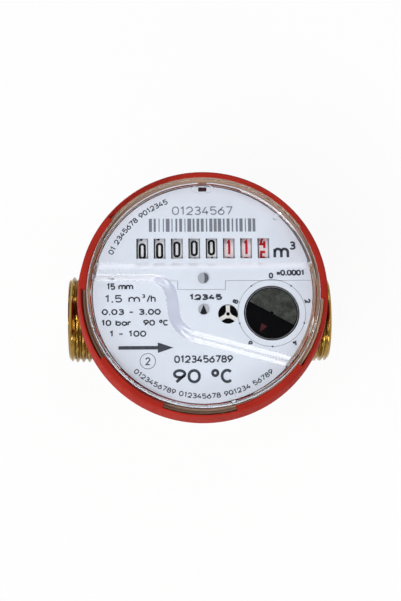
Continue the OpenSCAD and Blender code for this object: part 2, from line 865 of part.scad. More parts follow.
module counter_worm() color("khaki") {
    turns = 2 * worm_half_l / worm_pitch;
    at(disc_xy, lay_z - worm_half_l)
        difference() {
            rotate([0, 0, -90 - 180 * turns])
                linear_extrude(2 * worm_half_l, twist = -360 * turns, slices = 32, $fn = 20)
                    translate([worm_throw, 0])
                        circle(r = worm_core_r, $fn = 20);
            translate([0, 0, -over])
                cylinder(r = arbor_r + seat_fit, h = 2 * worm_half_l + 2 * over, $fn = 48);
        }
}

module pointer_disc() color("black") {
    at(disc_xy, dial_z + rotor_lift)
        difference() {
            cylinder(r = disc_d / 2, h = disc_t);
            translate([0, 0, -over])
                cylinder(r = arbor_r + seat_fit, h = disc_t + 2 * over, $fn = 48);
        }
}

module disc_foil() color("silver") {
    edge = 0.5;
    foil_r = disc_d / 2 - edge;
    at(disc_xy, dial_z + rotor_lift + disc_t)
        rotate([0, 0, foil_turn])
            difference() {
                linear_extrude(foil_t)
                    intersection() {
                        circle(r = foil_r);
                        translate([-foil_r, 0])
                            square([2 * foil_r, foil_r]);
                    }
                translate([0, 0, -over])
                    cylinder(r = arbor_r + seat_fit, h = foil_t + 2 * over, $fn = 48);
            }
}

// Counter drive and number wheels

lay_head = heading(lay_yz, idler_yz);
idler_head = heading(idler_yz, counter_yz);
idler_turn = lay_head + 180 + 180 / idler_teeth;
counter_mesh = (idler_turn - idler_head) * idler_teeth / counter_teeth;
counter_turn = idler_head + 180 - counter_mesh + 180 / counter_teeth;

// Worm wheel outline: round-topped teeth that follow the worm's wavy flank
module worm_wheel_outline() {
    steps = 12;
    polygon([for (i = [0:worm_wheel_teeth * steps - 1])
        let (
            a = i * 360 / (worm_wheel_teeth * steps),
            wave = cos(a * worm_wheel_teeth),
            r = worm_wheel_r - 0.12 + (wave > 0 ? worm_wheel_add : worm_wheel_ded) * wave
        )
        r * [cos(a), sin(a)]]);
}

module lay_shaft() color("white") {
    across(hanger_x, lay_yz)
        cylinder(r = arbor_r, h = drive_x + gear_w / 2 + 0.4 + cheek_t - hanger_x, $fn = 48);
    across(drive_x - gear_w / 2, lay_yz)
        gear(lay_teeth, drive_module, gear_w, lay_head);
    across(disc_x, lay_yz)
        rotate([0, 0, 180])
            translate([0, 0, -gear_w / 2])
                rotate([0, 0, worm_wheel_twist / 2])
                    linear_extrude(gear_w, twist = worm_wheel_twist, slices = 4)
                        worm_wheel_outline();
}

module idler_wheel() color("white") {
    across(drive_x - gear_w / 2, idler_yz)
        difference() {
            gear(idler_teeth, drive_module, gear_w, idler_turn);
            translate([0, 0, -over])
                cylinder(r = arbor_r + run_fit, h = gear_w + 2 * over, $fn = 48);
        }
}

module counter_shaft() color("silver") {
    across(left_cheek_x, counter_yz)
        cylinder(r = counter_shaft_r, h = cheek_span, $fn = 48);
}

module carry_shaft() color("silver") {
    across(-lug_x - cheek_t / 2, carry_yz)
        cylinder(r = carry_shaft_r, h = 2 * lug_x + cheek_t, $fn = 48);
}

// Locking disc with the two teeth that turn the next pinion once a turn
module lock_outline(turn) {
    sector = 18;
    reach = 2 * wheel_r;
    wedge = [[0, 0], reach * [cos(sector), -sin(sector)], reach * [cos(sector), sin(sector)]];
    rotate(turn) {
        difference() {
            circle(r = lock_r);
            polygon(wedge);
        }
        intersection() {
            rotate(180 / carry_wheel_teeth)
                gear_outline(carry_wheel_teeth, carry_module);
            polygon(wedge);
        }
    }
}

module number_wheel(k) {
    half = rim_w / 2;
    across(wheel_x(k), counter_yz)
        difference() {
            union() {
                translate([0, 0, -half])
                    cylinder(r = wheel_r, h = rim_w);
                if (k < digits)
                    translate([0, 0, half])
                        gear(carry_wheel_teeth, carry_module, side_w, carry_turn + 180 / carry_wheel_teeth);
                if (k > 1)
                    translate([0, 0, -half - side_w])
                        linear_extrude(side_w)
                            lock_outline(carry_turn - step_angle * (reading[k - 1] - carry_digit));
                if (k == digits) {
                    cylinder(r = drive_hub_r, h = drive_x - wheel_x(k));
                    translate([0, 0, drive_x - wheel_x(k) - gear_w / 2])
                        gear(counter_teeth, drive_module, gear_w, counter_turn);
                }
            }
            translate([0, 0, -rim_w])
                cylinder(r = counter_shaft_r + run_fit, h = 3 * rim_w, $fn = 48);
        }
}

module carry_pinion(k) {
    across(carry_x(k), carry_yz)
        difference() {
            rotate([0, 0, carry_turn + 180]) {
                linear_extrude(side_w - side_gap)
                    gear_outline(carry_pinion_teeth, carry_module);
                linear_extrude(carry_w)
                    gear_outline(carry_pinion_teeth, carry_module, 2);
            }
            translate([0, 0, -over])
                cylinder(r = carry_shaft_r + run_fit, h = carry_w + 2 * over, $fn = 48);
        }
}

// Dial

module dial_sheet() {
    difference() {
        circle(r = dial_r);
        for (k = [1:digits])
            translate([wheel_x(k) - window_w / 2, counter_y - window_h / 2])
                square([window_w, window_h]);
        translate(disc_xy)
            circle(r = disc_d / 2 + disc_gap);
        translate(star_xy)
            circle(r = star_d / 2 + star_gap, $fn = 48);
        for (side = [-1, 1])
            translate([0, side * pin_y])
                circle(r = pin_shank_r + seat_fit, $fn = 32);
    }
}

// Half of the dial behind the seam with its tab, grown by a gap
module dial_half(gap) {
    translate([-dial_d, seam_y - gap])
        square([2 * dial_d, dial_d]);
    translate([tab_left - gap, tab_y - gap])
        square([tab_right - tab_left + 2 * gap, seam_y - tab_y + over]);
}

module dial_upper() color("white") {
    translate([0, 0, dial_z])
        linear_extrude(dial_t)
            intersection() {
                dial_sheet();
                dial_half(0);
            }
}

module dial_lower() color("white") {
    translate([0, 0, dial_z])
        linear_extrude(dial_t)
            difference() {
                dial_sheet();
                dial_half(seam_gap);
            }
}

module dial_pins() color("silver") {
    for (side = [-1, 1])
        at([0, side * pin_y], dial_top) {
            cylinder(r = pin_head_r, h = pin_head_h, $fn = 48);
            translate([0, 0, -pin_shank_l])
                cylinder(r = pin_shank_r, h = pin_shank_l, $fn = 32);
        }
}

body();
inlet_strainer();
lower_pivot();
impeller();
impeller_pin();
impeller_magnet();
pressure_plate();
plate_seal();
clamp_ring();
collar();
register_case();
case_seal();
clear_cover();
magnet_shield();
follower();
follower_magnet();
mechanism_frame();
bridge_plate();
bridge_screws();
star_arbor();
flow_star();
reduction_arbor();
disc_arbor();
counter_worm();
pointer_disc();
disc_foil();
lay_shaft();
idler_wheel();
counter_shaft();
for (k = [1:digits])
    color("white") number_wheel(k);
carry_shaft();
for (k = [1:digits - 1])
    color("silver") carry_pinion(k);
dial_upper();
dial_lower();
dial_pins();
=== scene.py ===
"""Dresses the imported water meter: threaded brass body, moulded collar, clear cover, printed dial and counter."""
import math

import bmesh
import bpy
import numpy as np
from mathutils import Matrix, Vector


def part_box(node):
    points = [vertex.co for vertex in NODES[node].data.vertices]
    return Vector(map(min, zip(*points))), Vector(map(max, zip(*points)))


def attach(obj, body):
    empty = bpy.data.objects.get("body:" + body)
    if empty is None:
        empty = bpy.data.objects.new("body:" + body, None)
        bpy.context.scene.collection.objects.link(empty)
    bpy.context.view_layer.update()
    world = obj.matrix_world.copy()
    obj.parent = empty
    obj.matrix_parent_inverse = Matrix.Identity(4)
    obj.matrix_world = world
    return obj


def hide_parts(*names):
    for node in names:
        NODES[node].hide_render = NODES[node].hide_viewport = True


bl_info = {
    "name": "Water meter",
    "version": (1, 0, 0),
    "blender": (4, 5, 0),
    "location": "View3D > Sidebar > Meter",
    "description": "Builds the visible pieces of a single-jet water meter on its CAD frame",
    "category": "Object",
}

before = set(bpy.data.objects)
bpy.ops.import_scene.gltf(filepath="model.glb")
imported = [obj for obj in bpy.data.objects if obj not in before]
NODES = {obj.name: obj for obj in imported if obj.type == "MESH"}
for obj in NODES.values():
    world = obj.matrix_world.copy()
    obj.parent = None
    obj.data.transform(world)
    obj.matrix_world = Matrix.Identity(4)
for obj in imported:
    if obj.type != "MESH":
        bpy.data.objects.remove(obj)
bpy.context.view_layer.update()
MM = 0.001
# Degrees between two of the ten figures round the pointer disc or a number wheel
FIGURE_TURN = 36

# Heights and places taken from the frame, in metres
DIAL_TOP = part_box("dial_upper")[1][2]
DISC_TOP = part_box("pointer_disc")[1][2]
PIN_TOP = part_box("dial_pins")[1][2]
DISC_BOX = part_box("pointer_disc")
DISC = Vector(((DISC_BOX[0][0] + DISC_BOX[1][0]) / 2, (DISC_BOX[0][1] + DISC_BOX[1][1]) / 2))


# Sizes and colours a user would change

def length(name, description, millimetres):
    """A size in the sidebar, with its default in millimetres."""
    return bpy.props.FloatProperty(
        name=name, description=description, default=millimetres * MM, unit="LENGTH", subtype="DISTANCE")


def colour(name, description, hex_value):
    """A colour in the sidebar, as an sRGB hex value."""
    return bpy.props.StringProperty(name=name, description=description, default=hex_value)


class MeterSizes(bpy.types.PropertyGroup):
    """Sizes of the pieces that are added to the CAD frame."""
    thread_pitch: length("Thread pitch", "Axial distance between two pipe thread crests", 1.814)
    thread_depth: length("Thread depth", "Depth of the pipe thread's groove", 1.05)
    thread_crest: length("Thread crest", "Flat width left on each thread crest", 0.32)
    pocket_depth: length("Pocket depth", "Depth of the lowered field in the cover", 1.3)
    digit_height: length("Digit height", "Height of the figures on the number wheels", 4.75)
    digit_width: length("Digit width", "Width of the figures on the number wheels", 2.1)
    digit_stroke: length("Digit stroke", "Width of the lines of the wheels' figures", 0.68)
    ink_lift: length("Ink lift", "Height of the printed ink above its surface", 0.03)


class MeterColours(bpy.types.PropertyGroup):
    """Colours of the finishes, as sRGB hex values."""
    brass: colour("Brass", "Machined brass of the body", "#A68542")
    collar: colour("Collar", "Moulded plastic of the locking collar", "#A62A20")
    case: colour("Case", "Moulded plastic of the register case", "#BDA387")
    dial: colour("Dial", "Lacquer of the dial plates", "#E4ECF8")
    ink: colour("Ink", "Slate ink of the dial's figures", "#3E424C")
    pale_ink: colour("Pale ink", "Light grey ink of the number row and bars", "#7B808B")
    red_ink: colour("Red ink", "Ink of the last figures", "#C4202E")


# Shared helpers

def linear(text):
    """Turns an sRGB hex value into linear RGBA."""
    values = [int(text[i:i + 2], 16) / 255 for i in (1, 3, 5)]
    return [v / 12.92 if v <= 0.04045 else ((v + 0.055) / 1.055) ** 2.4 for v in values] + [1.0]


def shade(tone, amount):
    """Makes a linear colour lighter or darker by a factor."""
    return [min(1.0, c * amount) for c in tone[:3]] + [1.0]


def add_node(tree, kind, links=None, ramp=(), **settings):
    """Adds one node with its settings, and sets or links its inputs; a node as a value gives its first output."""
    node = tree.nodes.new(kind)
    for name, value in settings.items():
        setattr(node, name, value)
    for i, (position, tone) in enumerate(ramp):
        node.color_ramp.elements[i].position = position
        node.color_ramp.elements[i].color = tone
    for name, value in (links or {}).items():
        if isinstance(name, int):
            socket = node.inputs[name]
        else:
            socket = next(s for s in node.inputs if name in (s.name, s.identifier) and s.enabled)
        if isinstance(value, bpy.types.Node):
            value = next(s for s in value.outputs if s.enabled)
        if isinstance(value, bpy.types.NodeSocket):
            tree.links.new(value, socket)
        else:
            socket.default_value = value
    return node


def new_material(name):
    """Returns a cleared material and its tree."""
    material = bpy.data.materials.new(name)
    material.use_nodes = True
    material.node_tree.nodes.clear()
    return material, material.node_tree


# Materials

def machined_brass(colours):
    """Hot-pressed brass turned on a lathe: fine rings round the pipe, soft tarnish and bright crests."""
    material, tree = new_material("machined_brass")
    place = add_node(tree, "ShaderNodeTexCoord").outputs["Object"]
    base = linear(colours.brass)
    tarnish = add_node(tree, "ShaderNodeTexNoise", {
        "Vector": place, "Scale": 1 / (5.0 * MM), "Detail": 4.0, "Roughness": 0.55})
    tone = add_node(tree, "ShaderNodeValToRGB", {"Fac": tarnish}, ramp=((0.25, shade(base, 0.74)), (0.68, base)))
    polish = add_node(tree, "ShaderNodeMapRange", {
        "Value": tarnish, "From Min": 0.3, "From Max": 0.7, "To Min": 0.3, "To Max": 0.13})
    # Tool marks about 1 mm apart along the pipe, wider than real ones so that they show; a wave is tau / 20 long
    marks = add_node(tree, "ShaderNodeTexWave", {
        "Vector": place, "Scale": math.tau / 20 / (0.987 * MM), "Distortion": 1.5, "Detail": 2.0,
        "Detail Scale": 2.0}, wave_type="BANDS", bands_direction="X")
    grain = add_node(tree, "ShaderNodeTexNoise", {
        "Vector": place, "Scale": 1 / (0.35 * MM), "Detail": 2.0, "Roughness": 0.55})
    lift = add_node(tree, "ShaderNodeMath", {0: marks.outputs["Fac"], 1: grain}, operation="ADD")
    relief = add_node(tree, "ShaderNodeBump", {"Strength": 0.15, "Distance": 0.05 * MM, "Height": lift})
    metal = add_node(tree, "ShaderNodeBsdfPrincipled", {
        "Base Color": tone, "Metallic": 1.0, "Roughness": polish, "Normal": relief})
    add_node(tree, "ShaderNodeOutputMaterial", {"Surface": metal})
    return material


def patterned(name, clouds, ramp, surface, relief=None, matt=None):
    """A finish whose colour follows the first of its cloud patterns, and whose relief and gloss follow the last.

    Each cloud has its size in millimetres, detail and roughness. The relief has a strength and a depth in
    millimetres, and matt holds the roughness at the low and at the high end of the pattern.
    """
    material, tree = new_material(name)
    place = add_node(tree, "ShaderNodeTexCoord").outputs["Object"]
    patterns = [add_node(tree, "ShaderNodeTexNoise", {
        "Vector": place, "Scale": 1 / (size_mm * MM), "Detail": detail, "Roughness": roughness})
        for size_mm, detail, roughness in clouds]
    inputs = {"Base Color": add_node(tree, "ShaderNodeValToRGB", {"Fac": patterns[0]}, ramp=ramp), **surface}
    if matt:
        inputs["Roughness"] = add_node(tree, "ShaderNodeMapRange", {
            "Value": patterns[-1], "From Min": 0.3, "From Max": 0.7, "To Min": matt[0], "To Max": matt[1]})
    if relief:
        inputs["Normal"] = add_node(tree, "ShaderNodeBump", {
            "Strength": relief[0], "Distance": relief[1] * MM, "Height": patterns[-1]})
    shader = add_node(tree, "ShaderNodeBsdfPrincipled", inputs)
    add_node(tree, "ShaderNodeOutputMaterial", {"Surface": shader})
    return material


def moulded_plastic(name, tint, roughness, grain_mm, grain_strength, flow_shade=0.88, shine=0.5):
    """Injection-moulded plastic: an even colour with faint flow marks and a fine spark-eroded grain."""
    base = linear(tint)
    return patterned(name, ((9.0, 4.0, 0.55), (grain_mm, 2.0, 0.55)), ((0.3, shade(base, flow_shade)), (0.7, base)),
                     {"Specular IOR Level": shine}, (grain_strength, 0.04), (roughness - 0.05, roughness + 0.07))


def turned_steel():
    """Bright turned steel: a pale metal with fine streaks and a soft spread of light."""
    base = linear("#C9CACC")
    return patterned("turned_steel", ((0.6, 3.0, 0.55),), ((0.35, shade(base, 0.8)), (0.65, base)),
                     {"Metallic": 1.0, "Roughness": 0.26}, (0.1, 0.03))


def stained_foil():
    """Thin aluminium foil under lacquer: dull grey metal with darker, olive stains."""
    return patterned("stained_foil", ((2.4, 6.0, 0.68),), ((0.36, linear("#1E201E")), (0.66, linear("#4A4D49"))),
                     {"Metallic": 0.3, "Roughness": 0.45}, (0.2, 0.05))


def dial_lacquer(colours):
    """White lacquer baked on aluminium: a cool, even white with a silky gloss and the finest orange peel."""
    base = linear(colours.dial)
    return patterned("dial_lacquer", ((12.0, 3.0, 0.55), (0.5, 2.0, 0.55)),
                     ((0.35, shade(base, 0.95)), (0.6, base)), {"Roughness": 0.42}, (0.06, 0.02))


def print_ink(name, tint):
    """Screen-printed ink: a thin matt film, a little uneven where the mesh left it thin."""
    base = linear(tint)
    return patterned(name, ((0.4, 2.0, 0.55),), ((0.3, shade(base, 0.85)), (0.7, shade(base, 1.15))),
                     {"Roughness": 0.55, "Specular IOR Level": 0.2})


def polycarbonate(name, tint, roughness, clear):
    """Moulded polycarbonate: glossy and clear, or milky where the mould was left satin, or tinted lavender-grey as
    painted shade; lamps shine through it.
    """
    material, tree = new_material(name)
    glass = add_node(tree, "ShaderNodeBsdfPrincipled", {
        "Base Color": linear(tint), "Roughness": roughness, "IOR": 1.58, "Transmission Weight": clear})
    through = add_node(tree, "ShaderNodeBsdfTransparent", {"Color": linear("#FFFFFF")})
    path = add_node(tree, "ShaderNodeLightPath").outputs
    lamps = add_node(tree, "ShaderNodeMixShader", {0: path["Is Shadow Ray"], 1: glass, 2: through})
    # Scattered light passes too, so that the dial isn't lit twice
    scattered = add_node(tree, "ShaderNodeMixShader", {0: path["Is Diffuse Ray"], 1: lamps, 2: through})
    add_node(tree, "ShaderNodeOutputMaterial", {"Surface": scattered})
    return material


# Mesh helpers

def link(data, name):
    """Puts mesh data into the scene as an object at the origin."""
    holder = bpy.data.objects.new(name, data)
    bpy.context.scene.collection.objects.link(holder)
    return holder


def plain_mesh(holder):
    """Turns an object with live modifiers into a plain mesh and removes the object."""
    evaluated = holder.evaluated_get(bpy.context.evaluated_depsgraph_get())
    mesh = bpy.data.meshes.new_from_object(evaluated)
    holder.modifiers.clear()
    bpy.data.objects.remove(holder)
    return mesh


def new_piece(name, mesh, material, body):
    """Makes a finished mesh a piece that rides on a CAD body."""
    mesh.name = name
    mesh.materials.clear()
    mesh.materials.append(material)
    piece = link(mesh, name)
    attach(piece, body)
    return piece


def mesh_from(bm, name):
    """Turns a bmesh into a mesh."""
    mesh = bpy.data.meshes.new(name)
    bm.to_mesh(mesh)
    bm.free()
    return mesh


def merged_copy(node):
    """Copies a CAD node's mesh with its doubles merged and its flat faces joined."""
    bm = bmesh.new()
    bm.from_mesh(NODES[node].data)
    bmesh.ops.remove_doubles(bm, verts=bm.verts, dist=0.002 * MM)
    bmesh.ops.dissolve_limit(bm, angle_limit=math.radians(0.6), verts=bm.verts, edges=bm.edges)
    return bm


def smooth_by_angle(mesh, degrees):
    """Shades a mesh smooth but for its sharper edges."""
    mesh.polygons.foreach_set("use_smooth", [True] * len(mesh.polygons))
    mesh.set_sharp_from_angle(angle=math.radians(degrees))


def boolean(mesh, other, operation):
    """Joins or cuts two closed meshes and returns the result."""
    holder = link(mesh, "whole")
    tool = link(other, "tool")
    modifier = holder.modifiers.new("cut", "BOOLEAN")
    modifier.operation = operation
    modifier.solver = "EXACT"
    modifier.object = tool
    result = plain_mesh(holder)
    bpy.data.objects.remove(tool)
    return result


def paint(material, *nodes):
    """Gives CAD nodes a material."""
    for node in nodes:
        NODES[node].data.materials.clear()
        NODES[node].data.materials.append(material)


def grow(name, build, sizes, material):
    """Runs a Geometry Nodes tree with named inputs and returns its result as a plain mesh."""
    tree = bpy.data.node_groups.new(name, "GeometryNodeTree")
    tree.interface.new_socket("Geometry", in_out="OUTPUT", socket_type="NodeSocketGeometry")
    for key, value in sizes.items():
        kind = "NodeSocketInt" if isinstance(value, int) else "NodeSocketFloat"
        tree.interface.new_socket(key, in_out="INPUT", socket_type=kind)
    tree.interface.new_socket("Material", in_out="INPUT", socket_type="NodeSocketMaterial")
    given = add_node(tree, "NodeGroupInput").outputs
    whole = add_node(tree, "GeometryNodeRealizeInstances", {"Geometry": build(tree, given)})
    dressed = add_node(tree, "GeometryNodeSetMaterial", {"Geometry": whole, "Material": given["Material"]})
    add_node(tree, "NodeGroupOutput", {"Geometry": dressed})
    holder = link(bpy.data.meshes.new(name), name)
    modifier = holder.modifiers.new(name, "NODES")
    modifier.node_group = tree
    for item in tree.interface.items_tree:
        if item.in_out == "INPUT":
            modifier[item.identifier] = material if item.name == "Material" else sizes[item.name]
    return plain_mesh(holder)


def flat_polygon(bm, points, z, unit=MM):
    """Adds one flat face with its front upwards, from points in millimetres or another unit."""
    face = bm.faces.new([bm.verts.new((x * unit, y * unit, z)) for x, y in points])
    face.normal_update()
    if face.normal.z < 0:
        face.normal_flip()


def ring_band(bm, centre, inner, outer, z, steps):
    """Adds a flat ring with its front upwards."""
    rows = []
    for radius in (inner, outer):
        rows.append([bm.verts.new((centre[0] + radius * math.cos(a), centre[1] + radius * math.sin(a), z))
                     for a in (math.tau * i / steps for i in range(steps))])
    for i in range(steps):
        j = (i + 1) % steps
        bm.faces.new((rows[0][i], rows[1][i], rows[1][j], rows[0][j]))


# Figures drawn with a line of even width

# Widths as shares of the height, of the signs that aren't as wide as most
SIGN_WIDTHS = {"1": 0.42, "m": 1.05, ".": 0.12, "/": 0.45, "-": 0.45, "°": 0.32, " ": 0.3, "x": 0.5, "r": 0.4}
USUAL_WIDTH = 0.62
SIGN_GAP = 0.24


def arc(x, y, rx, ry, start, end, steps=14):
    """Points along an ellipse, with its angles in degrees."""
    angles = [math.radians(start + (end - start) * i / steps) for i in range(steps + 1)]
    return [(x + rx * math.cos(a), y + ry * math.sin(a)) for a in angles]


def sign_lines(sign, w, h):
    """Centre lines of one sign in a box w wide and h high."""
    m = w / 2
    q = w / 4
    r = min(m, h / 2)
    low = 0.7 * h
    return {
        "0": [arc(m, h - r, m, r, 0, 180) + arc(m, r, m, r, 180, 360) + [(w, h - r)]],
        "1": [[(0.1 * w, 0.8 * h), (0.65 * w, h), (0.65 * w, 0)]],
        "2": [arc(m, h - r, m, r, 170, -25) + [(0, 0), (w, 0)]],
        "3": [arc(m, 0.76 * h, 0.44 * w, 0.24 * h, 150, -90) + arc(m, 0.27 * h, m, 0.27 * h, 90, -150)],
        "4": [[(0.6 * w, h), (0, 0.28 * h), (w, 0.28 * h)], [(0.74 * w, 0.52 * h), (0.74 * w, 0)]],
        "5": [[(0.92 * w, h), (0.1 * w, h), (0.06 * w, 0.54 * h)] + arc(m, 0.31 * h, m, 0.31 * h, 118, -148)],
        "6": [[(0.82 * w, h)] + arc(m, 0.3 * h, m, 0.3 * h, 160, 520, 28)],
        "7": [[(0, h), (w, h), (0.36 * w, 0)]],
        "8": [arc(m, 0.77 * h, 0.42 * w, 0.23 * h, -90, 270, 24), arc(m, 0.27 * h, m, 0.27 * h, 90, 450, 24)],
        "9": [[(0.18 * w, 0)] + arc(m, 0.7 * h, m, 0.3 * h, -20, 340, 28)],
        "m": [[(0, 0), (0, low)]] + [arc(x, low - q, q, q, 180, 0) + [(x + q, 0)] for x in (q, 3 * q)],
        "h": [[(0, 0), (0, h)], arc(m, low - m, m, m, 180, 0) + [(w, 0)]],
        "b": [[(0, h), (0, 0)], arc(m, low / 2, m, low / 2, 180, 540, 24)],
        "a": [[(w, low), (w, 0)], arc(m, low / 2, m, low / 2, 0, 360, 24)],
        "r": [[(0, 0), (0, low)], arc(m, low - m, m, m, 180, 40)],
        "C": [arc(m, h / 2, m, h / 2, 45, 315, 20)],
        "°": [arc(m, h - m, m, m, 0, 360, 16)],
        "x": [[(0, 0.08 * h), (w, 0.62 * h)], [(0, 0.62 * h), (w, 0.08 * h)]],
        "/": [[(0, 0), (w, h)]],
        "-": [[(0, 0.45 * h), (w, 0.45 * h)]],
        ".": [[(m - 0.13 * h, 0), (m + 0.13 * h, 0)]],
    }[sign]


def resampled(points, step):
    """Adds points along a line so that no run is longer than step."""
    dense = [Vector(points[0])]
    for a, b in zip(points[:-1], points[1:]):
        a, b = Vector(a), Vector(b)
        parts = max(1, math.ceil((b - a).length / step))
        dense += [a.lerp(b, i / parts) for i in range(1, parts + 1)]
    return dense


def ribbon(bm, points, width, place):
    """Adds a flat line of even width through points, mapped by place to its surface."""
    closed = (points[0] - points[-1]).length < 1e-7
    if closed:
        points = points[:-1]
    count = len(points)
    pairs = []
    for i, point in enumerate(points):
        back = points[i - 1] if i or closed else None
        ahead = points[(i + 1) % count] if i < count - 1 or closed else None
        runs = [(b - a).normalized() for a, b in ((back, point), (point, ahead)) if a is not None and b is not None]
        middle = sum(runs, Vector((0, 0))).normalized()
        side = Vector((-middle.y, middle.x))
        mitre = max(0.5, side.dot(Vector((-runs[0].y, runs[0].x))))
        offset = side * width / 2 / mitre
        pairs.append([bm.verts.new(place(point + offset)), bm.verts.new(place(point - offset))])
    for i in range(count if closed else count - 1):
        a, b = pairs[i], pairs[(i + 1) % count]
        bm.faces.new((a[1], b[1], b[0], a[0]))


def write(bm, words, height, width, stroke, place, step=0.6 * MM):
    """Writes a row of figures centred on the origin of place's surface."""
    line_h = height - stroke
    parts = [SIGN_WIDTHS.get(sign, USUAL_WIDTH) for sign in words]
    unit = (width - stroke) / (sum(parts) + SIGN_GAP * (len(words) - 1))
    x = -(width - stroke) / 2
    for sign, part in zip(words, parts):
        if sign != " ":
            for line in sign_lines(sign, part * unit, line_h):
                ribbon(bm, [p + Vector((x, -line_h / 2)) for p in resampled(line, step)], stroke, place)
        x += (part + SIGN_GAP) * unit


def on_plane(x, y, z, turn=0.0):
    """Maps figures to a level surface, turned about their middle."""
    c, s = math.cos(turn), math.sin(turn)
    return lambda p: (x + p.x * c - p.y * s, y + p.x * s + p.y * c, z)


def on_arc(radius, middle, z, outward):
    """Maps figures to an arc round the dial, with their heads outward or towards the centre."""
    turn = -1 if outward else 1
    return lambda p: ((radius - turn * p.y) * math.cos(middle + turn * p.x / radius),
                      (radius - turn * p.y) * math.sin(middle + turn * p.x / radius), z)


# Stage and pieces

class METER_OT_stage(bpy.types.Operator):
    """Sets up the floor, the studio light and the camera"""
    bl_idname = "meter.stage"
    bl_label = "Stage"

    FLOOR_HALF = 6.0
    FLOOR_GLOW = 0.92
    AIM = Vector((0.0, 0.0, 0.05))
    # Name, place, width, height and watts of each softbox; all aim at the dial
    LAMPS = (
        ("key_softbox", (-0.34, -0.36, 0.76), 0.45, 0.45, 4.8),
        ("front_strip", (0.0, -0.78, 0.34), 0.6, 0.12, 1.4),
        ("back_strip", (0.15, 0.76, 0.64), 0.8, 0.14, 2.0),
        ("left_strip", (-0.72, -0.05, 0.4), 0.12, 0.3, 1.2),
        ("right_strip", (0.72, -0.08, 0.4), 0.12, 0.3, 1.2),
    )

    def execute(self, context):
        scene = context.scene
        scene.view_settings.view_transform = "Standard"
        self.floor()
        self.world(scene)
        self.lamps()
        self.camera(scene)
        return {"FINISHED"}

    def floor(self):
        """White paper that keeps a faint shadow and looks white to the camera, to metal and through the cover."""
        bm = bmesh.new()
        flat_polygon(bm, ((-1, -1), (1, -1), (1, 1), (-1, 1)), 0.0, self.FLOOR_HALF)
        floor = link(mesh_from(bm, "studio_floor"), "studio_floor")
        material, tree = new_material("white_paper_sweep")
        paper = add_node(tree, "ShaderNodeBsdfDiffuse", {"Color": linear("#F2F2F2")})
        glow = add_node(tree, "ShaderNodeEmission", {"Color": linear("#FFFFFF"), "Strength": 1.0})
        path = add_node(tree, "ShaderNodeLightPath").outputs
        seen = path["Is Camera Ray"]
        for ray in ("Is Transmission Ray", "Is Glossy Ray"):
            seen = add_node(tree, "ShaderNodeMath", {0: seen, 1: path[ray]}, operation="MAXIMUM")
        share = add_node(tree, "ShaderNodeMath", {0: seen, 1: self.FLOOR_GLOW}, operation="MULTIPLY")
        mix = add_node(tree, "ShaderNodeMixShader", {0: share, 1: paper, 2: glow})
        add_node(tree, "ShaderNodeOutputMaterial", {"Surface": mix})
        floor.data.materials.append(material)

    def world(self, scene):
        """A pale studio with a dark ceiling above the camera, so that the cover mirrors little."""
        world = bpy.data.worlds.new("studio")
        scene.world = world
        world.use_nodes = True
        tree = world.node_tree
        tree.nodes.clear()
        direction = add_node(tree, "ShaderNodeTexCoord").outputs["Generated"]
        up = add_node(tree, "ShaderNodeSeparateXYZ", {"Vector": direction}).outputs["Z"]
        tone = add_node(tree, "ShaderNodeValToRGB", {"Fac": up},
                        ramp=((0.35, linear("#F4F5F8")), (0.9, linear("#1E1E20"))))
        background = add_node(tree, "ShaderNodeBackground", {"Color": tone, "Strength": 0.55})
        add_node(tree, "ShaderNodeOutputWorld", {"Surface": background})

    def lamps(self):
        """Softboxes round the meter."""
        for name, place, width, height, power in self.LAMPS:
            lamp = bpy.data.lights.new(name, "AREA")
            lamp.shape = "RECTANGLE"
            lamp.size = width
            lamp.size_y = height
            lamp.energy = power
            holder = link(lamp, name)
            look = (self.AIM - Vector(place)).to_track_quat("-Z", "Y").to_matrix().to_4x4()
            holder.matrix_world = Matrix.Translation(place) @ look

    def camera(self, scene):
        """A camera almost straight above the dial, placed from the photograph's own lines."""
        image_height = 601
        focal_px = 1398.4
        shift_px = -24.65
        place = Vector((-14.43, -75.2, 444.35)) * MM
        turn = Matrix.Identity(3)
        for axis, degrees in (("Y", -2.015), ("X", 11.695), ("Z", -0.694)):
            turn = turn @ Matrix.Rotation(math.radians(degrees), 3, axis)
        lens = bpy.data.cameras.new("photo_camera")
        lens.sensor_fit = "VERTICAL"
        lens.sensor_height = 36.0
        lens.lens = focal_px * lens.sensor_height / image_height
        lens.shift_y = shift_px / image_height
        lens.clip_start = 0.01
        lens.clip_end = 20.0
        holder = link(lens, "photo_camera")
        holder.matrix_world = Matrix.Translation(place) @ turn.to_4x4()
        scene.camera = holder


